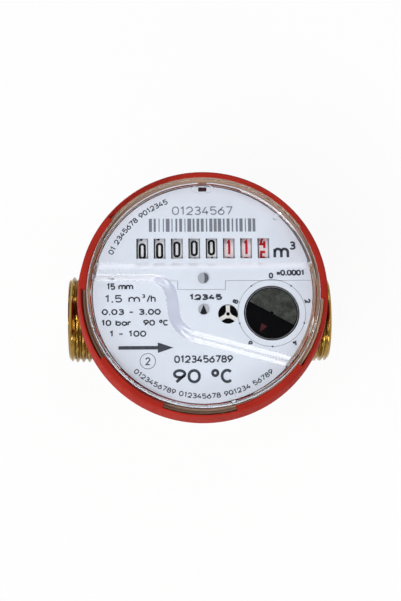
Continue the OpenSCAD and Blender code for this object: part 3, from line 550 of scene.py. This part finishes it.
class METER_OT_body(bpy.types.Operator):
    """Cuts the pipe threads into a copy of the brass body"""
    bl_idname = "meter.body"
    bl_label = "Brass body"

    PIPE_RADIUS = 13.22 * MM
    PIPE_AXIS = 15 * MM
    GROOVE_TURNS = 4.9
    GROOVE_ROOT = 0.12 * MM
    OVERCUT = 0.2 * MM

    def execute(self, context):
        brass = machined_brass(context.scene.meter_colours)
        paint(brass, "clamp_ring", "pressure_plate")
        sizes = context.scene.meter_sizes
        mouth = sizes.thread_pitch - sizes.thread_crest
        groove = {
            "Pitch": sizes.thread_pitch,
            "Turns": self.GROOVE_TURNS,
            "Radius": self.PIPE_RADIUS - sizes.thread_depth / 2 + self.OVERCUT / 2,
            "Depth": sizes.thread_depth + self.OVERCUT,
            "Mouth": mouth + (mouth - self.GROOVE_ROOT) * self.OVERCUT / sizes.thread_depth,
            "Root": self.GROOVE_ROOT,
            "Reach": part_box("body")[1][0] + 0.4 * sizes.thread_pitch,
            "Axis height": self.PIPE_AXIS,
        }
        cutter = grow("thread_groove", self.groove, groove, brass)
        threaded = boolean(mesh_from(merged_copy("body"), "body"), cutter, "DIFFERENCE")
        smooth_by_angle(threaded, 28)
        piece = new_piece("body_threaded", threaded, brass, "meter")
        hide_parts("body")
        return {"FINISHED"}

    def groove(self, tree, given):
        """A V-shaped bar wound round each pipe end, from the end inwards."""
        height = add_node(tree, "ShaderNodeMath", {0: given["Pitch"], 1: given["Turns"]}, operation="MULTIPLY")
        coil = add_node(tree, "GeometryNodeCurveSpiral", {
            "Resolution": 64, "Rotations": given["Turns"], "Start Radius": given["Radius"],
            "End Radius": given["Radius"], "Height": height})
        level = add_node(tree, "GeometryNodeSetCurveNormal", {"Curve": coil}, mode="Z_UP")
        bar = add_node(tree, "GeometryNodeCurvePrimitiveQuadrilateral", {
            "Bottom Width": given["Root"], "Top Width": given["Mouth"], "Offset": 0.0, "Height": given["Depth"]},
            mode="TRAPEZOID")
        upright = add_node(tree, "GeometryNodeTransform", {"Geometry": bar, "Rotation": (0.0, 0.0, math.pi / 2)})
        swept = add_node(tree, "GeometryNodeCurveToMesh", {
            "Curve": level, "Profile Curve": upright, "Fill Caps": True})
        both = add_node(tree, "GeometryNodeJoinGeometry")
        for side in (-1, 1):
            end = add_node(tree, "ShaderNodeMath", {0: given["Reach"], 1: float(side)}, operation="MULTIPLY")
            spot = add_node(tree, "ShaderNodeCombineXYZ", {"X": end, "Z": given["Axis height"]})
            laid = add_node(tree, "GeometryNodeTransform", {
                "Geometry": swept, "Translation": spot, "Rotation": (0.0, -side * math.pi / 2, 0.0)})
            tree.links.new(laid.outputs["Geometry"], both.inputs["Geometry"])
        return both


class METER_OT_collar(bpy.types.Operator):
    """Rounds the edges of the moulded collar and opens its lip between the two upper windows"""
    bl_idname = "meter.collar"
    bl_label = "Collar"

    EDGE_ROUND = 0.14 * MM
    # The opened part of the lip: its angles in degrees, inner radius, play round the cover, depth and overcut
    GAP_START = 68.0
    GAP_SWEEP = 39.0
    GAP_STEPS = 40
    GAP_INNER = 32.9 * MM
    GAP_PLAY = 0.63 * MM
    GAP_DEPTH = 1.95 * MM
    OVERCUT = 0.2 * MM

    def execute(self, context):
        red = moulded_plastic(
            "moulded_red_collar", context.scene.meter_colours.collar, 0.72, 0.5, 0.3, flow_shade=0.84, shine=0.06)
        bm = merged_copy("collar")
        sharp = [e for e in bm.edges if len(e.link_faces) == 2 and e.calc_face_angle() > math.radians(40)]
        bmesh.ops.bevel(bm, geom=sharp, offset=self.EDGE_ROUND, segments=2, profile=0.6, affect="EDGES",
                        clamp_overlap=True)
        mesh = boolean(mesh_from(bm, "collar_moulded"), self.upper_gap(), "DIFFERENCE")
        smooth_by_angle(mesh, 35)
        piece = new_piece("collar_moulded", mesh, red, "meter")
        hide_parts("collar")
        return {"FINISHED"}

    def upper_gap(self):
        """A sector of the lip, cut away so that the two upper windows run into one."""
        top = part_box("collar")[1][2]
        inner, outer = self.GAP_INNER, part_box("clear_cover")[1][0] + self.GAP_PLAY
        low, high = top - self.GAP_DEPTH, top + self.OVERCUT
        bm = bmesh.new()
        sections = []
        for i in range(self.GAP_STEPS + 1):
            a = math.radians(self.GAP_START + self.GAP_SWEEP * i / self.GAP_STEPS)
            sections.append([bm.verts.new((r * math.cos(a), r * math.sin(a), z))
                             for r, z in ((inner, low), (outer, low), (outer, high), (inner, high))])
        for one, two in zip(sections[:-1], sections[1:]):
            for j in range(4):
                bm.faces.new((one[j], one[(j + 1) % 4], two[(j + 1) % 4], two[j]))
        bm.faces.new(sections[0])
        bm.faces.new(sections[-1])
        bmesh.ops.recalc_face_normals(bm, faces=bm.faces)
        return mesh_from(bm, "upper_gap")


class METER_OT_inside(bpy.types.Operator):
    """Paints the case, the seals, the frame and the gear train, and shapes the flow star"""
    bl_idname = "meter.inside"
    bl_label = "Case and movement"

    # Finish, colour, roughness, grain in millimetres, its strength, for some flow shade and shine, and the nodes
    PLASTICS = (
        ("tan_silicone", "#B69E87", 0.6, 0.6, 0.2, ("case_seal",)),
        ("acetal_white", "#E6E6E3", 0.4, 0.3, 0.1, 0.94, (
            "inlet_strainer", "impeller", "follower", "reduction_arbor", "lay_shaft", "idler_wheel")),
        ("acetal_cream", "#DCCFAE", 0.42, 0.3, 0.1, 0.94, (
            "counter_worm", *(f"carry_pinion_{k}" for k in range(1, 8)))),
        ("moulded_black", "#050507", 0.5, 0.4, 0.2, 0.88, 0.04, (
            "lower_pivot", "mechanism_frame", "bridge_plate", "pointer_disc", "disc_arbor", "star_arbor")),
        ("seal_rubber", "#141414", 0.7, 0.6, 0.3, ("plate_seal",)),
        ("sintered_ferrite", "#34353A", 0.6, 0.5, 0.4, ("impeller_magnet", "follower_magnet")),
        ("nylon_pin", "#B4B8C2", 0.4, 0.4, 0.2, 0.8, ("dial_pins",)),
    )
    ARM_HALF = 0.56 * MM
    ARM_REACH = 0.97
    ARM_DROP = 0.1 * MM
    TIP_INSET = 0.02 * MM
    HUB_RADII = (1.0 * MM, 0.9 * MM)

    def execute(self, context):
        case = moulded_plastic("moulded_tan_case", context.scene.meter_colours.case, 0.5, 0.4, 0.2)
        paint(case, "register_case")
        finishes = {}
        for *finish, nodes in self.PLASTICS:
            finishes[finish[0]] = moulded_plastic(*finish)
            paint(finishes[finish[0]], *nodes)
        paint(turned_steel(), "impeller_pin", "magnet_shield", "bridge_screws", "counter_shaft", "carry_shaft")
        star = new_piece("star_vane", self.star(), finishes["acetal_white"], "star")
        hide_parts("flow_star")
        return {"FINISHED"}

    def star(self):
        """Three broad arms on a round hub."""
        low, high = (Vector(corner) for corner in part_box("flow_star"))
        tip = (high.x - low.x) / math.sqrt(3) - self.TIP_INSET
        centre_x = (low.x + high.x) / 2
        centre_y = high.y - tip
        half = self.ARM_HALF
        outline = []
        for turn in (90, 210, 330):
            along = Vector((math.cos(math.radians(turn)), math.sin(math.radians(turn))))
            across = Vector((-along.y, along.x))
            notch = Matrix.Rotation(math.radians(-60), 2) @ along * half / math.sin(math.radians(60))
            end = along * tip * self.ARM_REACH
            outline += [notch, end - across * half, end + across * half]
        bm = bmesh.new()
        base = bm.faces.new([bm.verts.new((centre_x + p.x, centre_y + p.y, low.z)) for p in outline])
        raised = bmesh.ops.extrude_face_region(bm, geom=[base])["geom"]
        tops = [v for v in raised if isinstance(v, bmesh.types.BMVert)]
        bmesh.ops.translate(bm, verts=tops, vec=(0, 0, high.z - low.z - self.ARM_DROP))
        bmesh.ops.recalc_face_normals(bm, faces=bm.faces)
        arms = mesh_from(bm, "star_arms")
        bm = bmesh.new()
        middle = Matrix.Translation((centre_x, centre_y, (low.z + high.z) / 2))
        bmesh.ops.create_cone(bm, cap_ends=True, segments=48, radius1=self.HUB_RADII[0], radius2=self.HUB_RADII[1],
                              depth=high.z - low.z, matrix=middle)
        mesh = boolean(arms, mesh_from(bm, "star_hub"), "UNION")
        smooth_by_angle(mesh, 30)
        return mesh


class METER_OT_dial(bpy.types.Operator):
    """Lacquers the dial plates and prints their figures"""
    bl_idname = "meter.dial"
    bl_label = "Dial"

    # Words, middle x and y, height, width and stroke in millimetres from the dial's centre
    ROWS = (
        ("m", 22.3, 12.1, 4.3, 4.5, 0.78),
        ("3", 25.5, 13.75, 2.5, 1.85, 0.55),
        ("x0.0001", 24.8, 6.0, 1.8, 8.1, 0.48),
        ("15 mm", -23.6, 2.1, 1.95, 7.6, 0.42),
        ("1.5 m", -22.9, -1.4, 2.2, 10.0, 0.4),
        ("3", -16.95, -0.7, 1.2, 0.95, 0.26),
        ("/h", -14.8, -1.4, 2.2, 2.6, 0.4),
        ("0.03 - 3.00", -20.4, -5.2, 1.75, 16.6, 0.4),
        ("10 bar   90 °C", -19.4, -8.3, 1.75, 19.0, 0.4),
        ("1 - 100", -21.4, -11.4, 1.8, 10.4, 0.4),
        ("0123456789", -0.2, -18.7, 2.15, 16.5, 0.42),
        ("90 °C", -0.3, -23.5, 4.0, 17.0, 0.78),
        ("12345", 0.6, -0.95, 1.75, 9.4, 0.5),
        ("2", -15.8, -19.2, 2.2, 1.4, 0.34),
    )
    NUMBER_ROW = ("01234567", -0.06, 24.1, 2.55, 17.3, 0.34)
    # Words, radius and middle angle of the arc, height, width, stroke, and whether the heads point outward
    ARCS = (
        ("01 2345678 9012345", 28.7, 133.5, 1.6, 23.0, 0.3, True),
        ("0123456789 012345678 901234 56789", 29.1, 269.5, 1.5, 42.0, 0.28, False),
    )
    FLOW_ARROW = ((-24.0, -14.9), (-13.0, -14.9), (-13.0, -13.9), (-8.6, -15.4), (-13.0, -16.9), (-13.0, -15.9),
                  (-24.0, -15.9))
    # Painted shade on the dial under the cover's clear key
    KEY_SLOT = ((-1.15, 29.7), (1.15, 29.7), (1.15, 30.85), (-1.15, 30.85))
    # Flat rings: their middle, inner and outer radius and steps
    FIGURE_RING = ((-15.8 * MM, -19.2 * MM), 2.08 * MM, 2.24 * MM, 64)
    SCALE_RING = (DISC, 9.56 * MM, 9.66 * MM, 128)
    # The ring at the dial's edge is a painted shadow for the dark gap between the dial and the cover
    EDGE_RING = ((0, 0), 31.22 * MM, 31.5 * MM, 192)
    SCALE_FIGURES = 10.75 * MM
    # Middle of the first bar, as a share of the row from its centre
    FIRST_BAR = -0.484

    def execute(self, context):
        colours = context.scene.meter_colours
        lift = DIAL_TOP + context.scene.meter_sizes.ink_lift
        paint(dial_lacquer(colours), "dial_upper", "dial_lower")
        ink = print_ink("slate_ink", colours.ink)
        pale = print_ink("pale_grey_ink", colours.pale_ink)
        dots = {"Count": 5, "Radius": 9.6 * MM, "Dot": 0.26 * MM, "Across": DISC.x, "Along": DISC.y, "Height": lift}
        bars = {"Count": 25, "Length": 30.8 * MM, "Height": 3.85 * MM, "Thin": 0.22 * MM, "Thick": 1.1 * MM,
                "Along": 19.85 * MM, "Lift": lift, "Seed": 7}
        prints = (
            ("dial_figures", self.figures(lift), ink),
            ("dial_scale", self.scale(lift), ink),
            ("dial_scale_dots", grow("scale_dots", self.dots, dots, ink), ink),
            ("dial_number_row", self.number_row(lift), pale),
            ("dial_bars", grow("dial_bars", self.bars, bars, pale), pale),
        )
        for name, mesh, film in prints:
            new_piece(name, mesh, film, "register")
        # Painted shadow in dark brown ink: a ring at the dial's edge and a patch under the cover's key
        gap_shadow_ink = print_ink("painted_shadow_ink", "#3A2527")
        new_piece("dial_edge_painted_shadow", self.edge_line(lift), gap_shadow_ink, "register")
        return {"FINISHED"}

    def ring(self, bm, ring, lift):
        """Adds one of the flat rings."""
        centre, inner, outer, steps = ring
        ring_band(bm, centre, inner, outer, lift, steps)

    def row(self, bm, row, lift):
        """Adds one straight row of figures."""
        words, x, y, height, width, stroke = row
        write(bm, words, height * MM, width * MM, stroke * MM, on_plane(x * MM, y * MM, lift))

    def figures(self, lift):
        """Unit, multiplier and rating figures, a flow arrow, and plain figures along two arcs."""
        bm = bmesh.new()
        for row in self.ROWS:
            self.row(bm, row, lift)
        self.ring(bm, self.FIGURE_RING, lift)
        flat_polygon(bm, self.FLOW_ARROW, lift)
        for words, radius, middle, height, width, stroke, outward in self.ARCS:
            write(bm, words, height * MM, width * MM, stroke * MM,
                  on_arc(radius * MM, math.radians(middle), lift, outward))
        return mesh_from(bm, "dial_figures")

    def scale(self, lift):
        """Ring and even figures round the pointer disc."""
        bm = bmesh.new()
        self.ring(bm, self.SCALE_RING, lift)
        for figure in range(0, 10, 2):
            angle = math.radians(90 - FIGURE_TURN * figure)
            spot = DISC + Vector((math.cos(angle), math.sin(angle))) * self.SCALE_FIGURES
            write(bm, str(figure), 1.7 * MM, 1.25 * MM, 0.44 * MM,
                  on_plane(spot.x, spot.y, lift, angle - math.pi / 2))
        return mesh_from(bm, "dial_scale")

    def dots(self, tree, given):
        """Dots between the scale's figures."""
        ring = add_node(tree, "GeometryNodeMeshCircle", {"Vertices": given["Count"], "Radius": given["Radius"]})
        turned = add_node(tree, "GeometryNodeTransform", {
            "Geometry": ring, "Rotation": (0.0, 0.0, math.radians(1.5 * FIGURE_TURN))})
        dot = add_node(tree, "GeometryNodeMeshCircle", {"Vertices": 16, "Radius": given["Dot"]}, fill_type="NGON")
        spots = add_node(tree, "GeometryNodeInstanceOnPoints", {"Points": turned, "Instance": dot})
        centre = add_node(tree, "ShaderNodeCombineXYZ", {
            "X": given["Across"], "Y": given["Along"], "Z": given["Height"]})
        return add_node(tree, "GeometryNodeTransform", {"Geometry": spots, "Translation": centre})

    def number_row(self, lift):
        """A plain number above the bars."""
        bm = bmesh.new()
        self.row(bm, self.NUMBER_ROW, lift)
        return mesh_from(bm, "dial_number_row")

    def edge_line(self, lift):
        """A painted shadow round the dial's edge for the dark gap to the cover, and painted shade under the cover's
        key.
        """
        bm = bmesh.new()
        flat_polygon(bm, self.KEY_SLOT, lift)
        self.ring(bm, self.EDGE_RING, lift)
        return mesh_from(bm, "dial_edge_painted_shadow")

    def bars(self, tree, given):
        """A row of bars of uneven width, with a fixed seed."""
        pitch = add_node(tree, "ShaderNodeMath", {0: given["Length"], 1: given["Count"]}, operation="DIVIDE")
        offset = add_node(tree, "ShaderNodeCombineXYZ", {"X": pitch})
        first = add_node(tree, "ShaderNodeMath", {0: given["Length"], 1: self.FIRST_BAR}, operation="MULTIPLY")
        start = add_node(tree, "ShaderNodeCombineXYZ", {"X": first, "Y": given["Along"], "Z": given["Lift"]})
        row = add_node(tree, "GeometryNodeMeshLine", {
            "Count": given["Count"], "Start Location": start, "Offset": offset})
        bar = add_node(tree, "GeometryNodeMeshGrid", {
            "Size X": 1.0, "Size Y": given["Height"], "Vertices X": 2, "Vertices Y": 2})
        width = add_node(tree, "FunctionNodeRandomValue", {
            "Min_001": given["Thin"], "Max_001": given["Thick"], "Seed": given["Seed"]}, data_type="FLOAT")
        size = add_node(tree, "ShaderNodeCombineXYZ", {"X": width.outputs[1], "Y": 1.0, "Z": 1.0})
        return add_node(tree, "GeometryNodeInstanceOnPoints", {"Points": row, "Instance": bar, "Scale": size})


class METER_OT_counter(bpy.types.Operator):
    """Prints the figures round the number wheels"""
    bl_idname = "meter.counter"
    bl_label = "Number wheels"

    # Each wheel stands a little off its figure, as the play in the carry pinions lets it
    READING = (-0.1, -0.08, 0.0, 0.06, 0.1, 1.1, 1.1, 4.44)
    WHOLE_WHEELS = 5
    WHEEL_PITCH = 4.93 * MM
    # Painted shade along the wheels' edges, dark for the shadow in the window's gap and grey for the shaded side:
    # side, name of the ink, its colour, and both ends across the wheel in millimetres from its middle
    EDGES = (
        ("left", "wheel_edge_painted_shadow", "#14161D", -1.75, -1.3),
        ("right", "wheel_edge_painted_shade", "#9A9BA4", 1.32, 1.75),
    )
    EDGE_STEPS = 120

    def execute(self, context):
        sizes = context.scene.meter_sizes
        wheel = moulded_plastic("wheel_white", "#F4F4F7", 0.42, 0.3, 0.1, 0.96)
        pink = moulded_plastic("wheel_pink", "#F5E6EA", 0.42, 0.3, 0.1, 0.96)
        black = print_ink("black_ink", "#0D0E13")
        red = print_ink("red_ink", context.scene.meter_colours.red_ink)
        edges = [(side, print_ink(name, tint), left, right) for side, name, tint, left, right in self.EDGES]
        for k, shown in enumerate(self.READING, start=1):
            whole = k <= self.WHOLE_WHEELS
            body = f"wheel_{k}"
            paint(wheel if whole else pink, f"number_wheel_{k}")
            new_piece(f"wheel_figures_{k}", self.figures(k, shown, sizes), black if whole else red, body)
            # Painted shade lines along both edges of the wheel: dark shadow on the left, grey shade on the right
            for side, ink, left, right in edges:
                new_piece(f"wheel_{side}_edge_{k}", self.edge(k, left, right, sizes.ink_lift), ink, body)
        return {"FINISHED"}

    def on_rim(self, k, lift, ahead=0.0):
        """Maps figures to a wheel's rim, turned back by an angle from its top."""
        low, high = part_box(f"number_wheel_{k}")
        centre_x = (k - (len(self.READING) + 1) / 2) * self.WHEEL_PITCH
        centre_y = (high[1] + low[1]) / 2
        centre_z = (high[2] + low[2]) / 2
        around = (high[1] - low[1]) / 2 + lift

        def place(p):
            angle = p.y / around - ahead
            return (centre_x + p.x, centre_y + around * math.sin(angle), centre_z + around * math.cos(angle))
        return place, around

    def figures(self, k, shown, sizes):
        """Ten figures bent round a wheel's rim, the shown one on top and the next one in front of it."""
        bm = bmesh.new()
        for figure in range(10):
            place, _ = self.on_rim(k, sizes.ink_lift, math.radians(FIGURE_TURN * (figure - shown)))
            width = sizes.digit_width * (0.75 if figure == 1 else 1.0)
            write(bm, str(figure), sizes.digit_height, width, sizes.digit_stroke, place, 0.4 * MM)
        return mesh_from(bm, f"wheel_figures_{k}")

    def edge(self, k, left, right, lift):
        """A line of painted shade round one edge of a wheel."""
        place, around = self.on_rim(k, lift)
        bm = bmesh.new()
        pairs = []
        for i in range(self.EDGE_STEPS):
            along = math.tau * around * i / self.EDGE_STEPS
            pairs.append([bm.verts.new(place(Vector((end * MM, along)))) for end in (left, right)])
        for a, b in zip(pairs, pairs[1:] + pairs[:1]):
            bm.faces.new((a[0], a[1], b[1], b[0]))
        return mesh_from(bm, "wheel_painted_shade_edge")


class METER_OT_pointer(bpy.types.Operator):
    """Finishes the pointer disc with its foil, rim line and red mark, and paints dark reflections on the dial pins
    """
    bl_idname = "meter.pointer"
    bl_label = "Pointer disc"

    RIM_LINE = (7.4 * MM, 7.52 * MM)
    # The red mark: its clock angle in degrees, and its tip, foot and half width in millimetres from the middle
    MARK_TURN = 213
    MARK_TIP = 6.4
    MARK_FOOT = 4.0
    MARK_HALF = 0.95
    # Painted reflections on the dial pins: a dark wedge on the lower pin and a grey half on the upper one
    PIN_ARROW = [(0.0, -3.15)] + arc(0.0, -4.5, 1.5, 1.5, 228, 312, 10)
    PIN_HALF_MOON = arc(0.1, 4.5, 1.36, 1.46, -90, 90, 24) + arc(0.1, 4.5, 0.25, 1.46, 90, -90, 12)[1:-1]

    def execute(self, context):
        lift = context.scene.meter_sizes.ink_lift
        paint(stained_foil(), "disc_foil")
        bm = bmesh.new()
        ring_band(bm, DISC, *self.RIM_LINE, DISC_TOP + lift, 128)
        silver = print_ink("silver_ink", "#9A9DA3")
        new_piece("disc_rim_line", mesh_from(bm, "disc_rim_line"), silver, "disc")
        marks = (
            ("disc_mark", self.mark(), DISC_TOP, print_ink("dark_red_ink", "#42151A"), "disc", "red_plastic"),
            # The pins' marks are painted reflections, not print
            ("pin_arrow", self.PIN_ARROW, PIN_TOP, print_ink("pin_reflection_black_ink", "#101116"), "register",
             "black_plastic"),
            ("pin_half_moon", self.PIN_HALF_MOON, PIN_TOP, print_ink("pin_reflection_grey_ink", "#5C616C"), "register",
             "black_plastic"),
        )
        for name, points, surface, ink, body, slot in marks:
            bm = bmesh.new()
            flat_polygon(bm, points, surface + lift)
            new_piece(name, mesh_from(bm, name), ink, body)
        return {"FINISHED"}

    def mark(self):
        """Corners of the red mark, a triangle that points outward."""
        angle = math.radians(90 - self.MARK_TURN)
        outward = Vector((math.cos(angle), math.sin(angle)))
        across = Vector((-outward.y, outward.x)) * self.MARK_HALF
        middle = DISC / MM
        foot = middle + outward * self.MARK_FOOT
        return [middle + outward * self.MARK_TIP, foot + across, foot - across]


class METER_OT_cover(bpy.types.Operator):
    """Moulds the clear cover with its lowered field, pegs and key"""
    bl_idname = "meter.cover"
    bl_label = "Clear cover"

    RINGS = 150
    STEPS = 420
    OUTER = 32.8 * MM
    INNER = 31.9 * MM
    TOP_WALL = 3.3 * MM
    FLANGE = 2.1 * MM
    EDGE = 0.7 * MM
    OUTER_FILLET = 0.2 * MM
    INNER_FILLET = 0.3 * MM
    # Points of the rounded upper edge: steps inward and down, as shares of EDGE
    ROUND = ((0.62, 0.08), (0.29, 0.29), (0.08, 0.62), (0.0, 1.0))
    # How far pegs, key and boss reach into the top wall, and how far pegs and key end above the dial
    OVERLAP = 0.4 * MM
    PEG_TURNS = (46.5, 168.6, 284.7)
    PEG_RING = 30.3 * MM
    PEG_RADII = (0.82 * MM, 0.9 * MM)
    PEG_CLEAR = 0.05 * MM
    KEY_SIZE = (2.5 * MM, 1.8 * MM)
    KEY_Y = 31.1 * MM
    KEY_CLEAR = 0.3 * MM
    BOSS_HALVES = (3.4 * MM, 1.25 * MM)
    BOSS_Y = 30.1 * MM
    BOSS_DROP = 0.5 * MM
    POCKET_REACH = 31 * MM
    # Name, tint, roughness and clearness: the gloss of the cover, then its slopes
    FINISHES = (
        ("clear_polycarbonate", "#FFFFFF", 0.0, 1.0),
        ("satin_polycarbonate", "#E8EBF3", 0.3, 0.7),
        # The slopes facing right take a lavender-grey tint: painted shade where the slope turns the light away from
        # the dial
        ("lavender_shade_polycarbonate", "#CBCDDC", 0.04, 0.6),
        ("white_satin_polycarbonate", "#FCFCFF", 0.03, 0.65),
    )

    def execute(self, context):
        pocket_depth = context.scene.meter_sizes.pocket_depth
        mesh = boolean(self.shell(pocket_depth), self.pegs(), "UNION")
        mesh = boolean(mesh, self.boss(), "UNION")
        smooth_by_angle(mesh, 30)
        clear, *satins = (polycarbonate(*finish) for finish in self.FINISHES)
        piece = new_piece("cover_moulded", mesh, clear, "register")
        for satin in satins:
            mesh.materials.append(satin)
        self.frost(mesh, pocket_depth)
        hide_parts("clear_cover")
        return {"FINISHED"}

    def frost(self, mesh, pocket_depth):
        """Gives the slopes of the lowered field the mould's satin finishes by the side they face; those facing
        right get a lavender-grey tint that is painted shade.
        """
        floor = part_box("clear_cover")[1][2] - pocket_depth * 1.02
        for face in mesh.polygons:
            facing = face.normal
            if face.center.z > floor and face.center.xy.length < self.POCKET_REACH and 0.5 < facing.z < 0.99:
                if facing.y < -0.2 and face.center.y > 0:
                    face.material_index = 1
                # Slopes facing right: painted lavender-grey shade
                elif facing.x > 0.13:
                    face.material_index = 2
                elif facing.y > 0.1:
                    face.material_index = 3

    def underside(self):
        """Height of the top wall's underside."""
        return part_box("clear_cover")[1][2] - self.TOP_WALL

    def shell(self, pocket_depth):
        """The cover as one closed skin: a grid over its top, its wall, flange and flat underside."""
        low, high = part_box("clear_cover")
        top = high[2]
        outer, inner, edge, under = self.OUTER, self.INNER, self.EDGE, self.underside()
        flange_top = low[2] + self.FLANGE
        bm = bmesh.new()
        radii = [(outer - edge) * i / self.RINGS for i in range(1, self.RINGS + 1)]
        angles = [math.tau * j / self.STEPS for j in range(self.STEPS)]
        grid = np.array([[(r * math.cos(a), r * math.sin(a)) for a in angles] for r in radii])
        drop = self.depth(grid.reshape(-1, 2) / MM).reshape(len(radii), len(angles)) * pocket_depth
        hub = bm.verts.new((0, 0, top - float(self.depth(np.zeros((1, 2)))[0]) * pocket_depth))
        rows = [[bm.verts.new((grid[i, j, 0], grid[i, j, 1], top - drop[i, j])) for j in range(len(angles))]
                for i in range(len(radii))]
        side = [(outer - edge * inward, top - edge * down) for inward, down in self.ROUND]
        side += [(outer, flange_top + self.OUTER_FILLET), (outer + self.OUTER_FILLET, flange_top),
                 (high[0], flange_top), (high[0], low[2]), (inner, low[2]),
                 (inner, under + self.INNER_FILLET), (inner - self.INNER_FILLET, under)]
        for r, z in side:
            rows.append([bm.verts.new((r * math.cos(a), r * math.sin(a), z)) for a in angles])
        count = len(angles)
        for a, b in zip(rows[:-1], rows[1:]):
            for j in range(count):
                bm.faces.new((a[j], b[j], b[(j + 1) % count], a[(j + 1) % count]))
        for j in range(count):
            bm.faces.new((hub, rows[0][j], rows[0][(j + 1) % count]))
        bm.faces.new(list(reversed(rows[-1])))
        bmesh.ops.recalc_face_normals(bm, faces=bm.faces)
        return mesh_from(bm, "cover_shell")

    def pegs(self):
        """Three round pegs and a key that reach from the underside towards the dial."""
        high = self.underside() + self.OVERLAP
        bm = bmesh.new()
        low = DIAL_TOP + self.PEG_CLEAR
        for turn in self.PEG_TURNS:
            x, y = (self.PEG_RING * f(math.radians(turn)) for f in (math.cos, math.sin))
            bmesh.ops.create_cone(bm, cap_ends=True, segments=32, radius1=self.PEG_RADII[0],
                                  radius2=self.PEG_RADII[1], depth=high - low,
                                  matrix=Matrix.Translation((x, y, (low + high) / 2)))
        low = DIAL_TOP + self.KEY_CLEAR
        size = Matrix.Diagonal((*self.KEY_SIZE, high - low, 1.0))
        bmesh.ops.create_cube(bm, size=1.0, matrix=Matrix.Translation((0, self.KEY_Y, (low + high) / 2)) @ size)
        return mesh_from(bm, "cover_pegs")

    def boss(self):
        """A low oval boss round the key."""
        low, high = self.underside() - self.BOSS_DROP, self.underside() + self.OVERLAP
        oval = Matrix.Diagonal((*self.BOSS_HALVES, high - low, 1.0))
        bm = bmesh.new()
        bmesh.ops.create_cone(bm, cap_ends=True, segments=64, radius1=0.94, radius2=1.0, depth=1.0,
                              matrix=Matrix.Translation((0, self.BOSS_Y, (low + high) / 2)) @ oval)
        return mesh_from(bm, "cover_boss")

    def front_edge(self):
        """The lowered field's front edge in millimetres: two bends joined by straight runs."""
        left_y, bend_x, bend_1, bend_2 = 4.1, -15.4, 6.5, 8.0
        turn, leave, slope = math.radians(84), math.radians(15.4), 4.2
        far, steps = 60.0, 24
        first = Vector((bend_x, left_y - bend_1))
        points = [Vector((-far, left_y))]
        for i in range(steps + 1):
            a = math.pi / 2 - turn * i / steps
            points.append(first + bend_1 * Vector((math.cos(a), math.sin(a))))
        start = points[-1] + slope * Vector((math.cos(turn), -math.sin(turn)))
        second = start + bend_2 * Vector((math.sin(turn), math.cos(turn)))
        for i in range(steps + 1):
            a = 1.5 * math.pi - turn + (turn - leave) * i / steps
            points.append(second + bend_2 * Vector((math.cos(a), math.sin(a))))
        points.append(points[-1] + far * Vector((math.cos(leave), -math.sin(leave))))
        return np.array([p[:] for p in points])

    def depth(self, spots):
        """Share of the pocket's depth at each spot in millimetres, with soft slopes along its edges."""
        line = self.front_edge()
        nearest = np.full(len(spots), 1e9)
        sign = np.ones(len(spots))
        for a, b in zip(line[:-1], line[1:]):
            run = b - a
            share = np.clip(((spots - a) @ run) / (run @ run), 0, 1)
            gap = spots - (a + share[:, None] * run)
            distance = np.hypot(gap[:, 0], gap[:, 1])
            left = np.sign(run[0] * gap[:, 1] - run[1] * gap[:, 0])
            closer = distance < nearest
            nearest = np.where(closer, distance, nearest)
            sign = np.where(closer, left, sign)
        x, y = spots[:, 0], spots[:, 1]
        # The slope is narrow on the left and broad from the first bend on
        half = 1.2 + 0.8 * self.eased(x, -17.0, -10.0)
        across = nearest * sign / half
        single = self.eased(across, -1.0, 1.0)
        # Two steps with a narrow land between them where the edge runs out to the right
        double = (self.eased(across, -1.0, 0.0) + self.eased(across, 0.0, 1.0)) / 2
        front = single + (double - single) * self.eased(x, -8.0, -2.0)
        back_y, rim_radius = 8.3, 31.4
        back = self.eased(back_y - y, 0.0, 1.9)
        rim = self.eased(rim_radius - np.hypot(x, y), 0.0, 0.8)
        return front * back * rim

    def eased(self, value, low, high):
        """Rises smoothly from 0 at low to 1 at high."""
        share = np.clip((value - low) / (high - low), 0, 1)
        return share * share * (3 - 2 * share)


class METER_PT_panel(bpy.types.Panel):
    """Lists the pieces of the meter"""
    bl_idname = "METER_PT_panel"
    bl_label = "Water meter"
    bl_space_type = "VIEW_3D"
    bl_region_type = "UI"
    bl_category = "Meter"

    def draw(self, context):
        for operator in OPERATORS:
            self.layout.operator(operator.bl_idname)
        for group in (context.scene.meter_sizes, context.scene.meter_colours):
            for name in group.__annotations__:
                self.layout.prop(group, name)


GROUPS = (MeterSizes, MeterColours)
OPERATORS = (METER_OT_stage, METER_OT_body, METER_OT_collar, METER_OT_inside, METER_OT_dial, METER_OT_counter,
             METER_OT_pointer, METER_OT_cover)


def register():
    for cls in GROUPS + OPERATORS + (METER_PT_panel,):
        bpy.utils.register_class(cls)
    bpy.types.Scene.meter_sizes = bpy.props.PointerProperty(type=MeterSizes)
    bpy.types.Scene.meter_colours = bpy.props.PointerProperty(type=MeterColours)


def unregister():
    del bpy.types.Scene.meter_colours
    del bpy.types.Scene.meter_sizes
    for cls in reversed(GROUPS + OPERATORS + (METER_PT_panel,)):
        bpy.utils.unregister_class(cls)


def main():
    register()
    bpy.ops.meter.stage()
    bpy.ops.meter.body()
    bpy.ops.meter.collar()
    bpy.ops.meter.inside()
    bpy.ops.meter.dial()
    bpy.ops.meter.counter()
    bpy.ops.meter.pointer()
    bpy.ops.meter.cover()


if __name__ == "__main__":
    main()
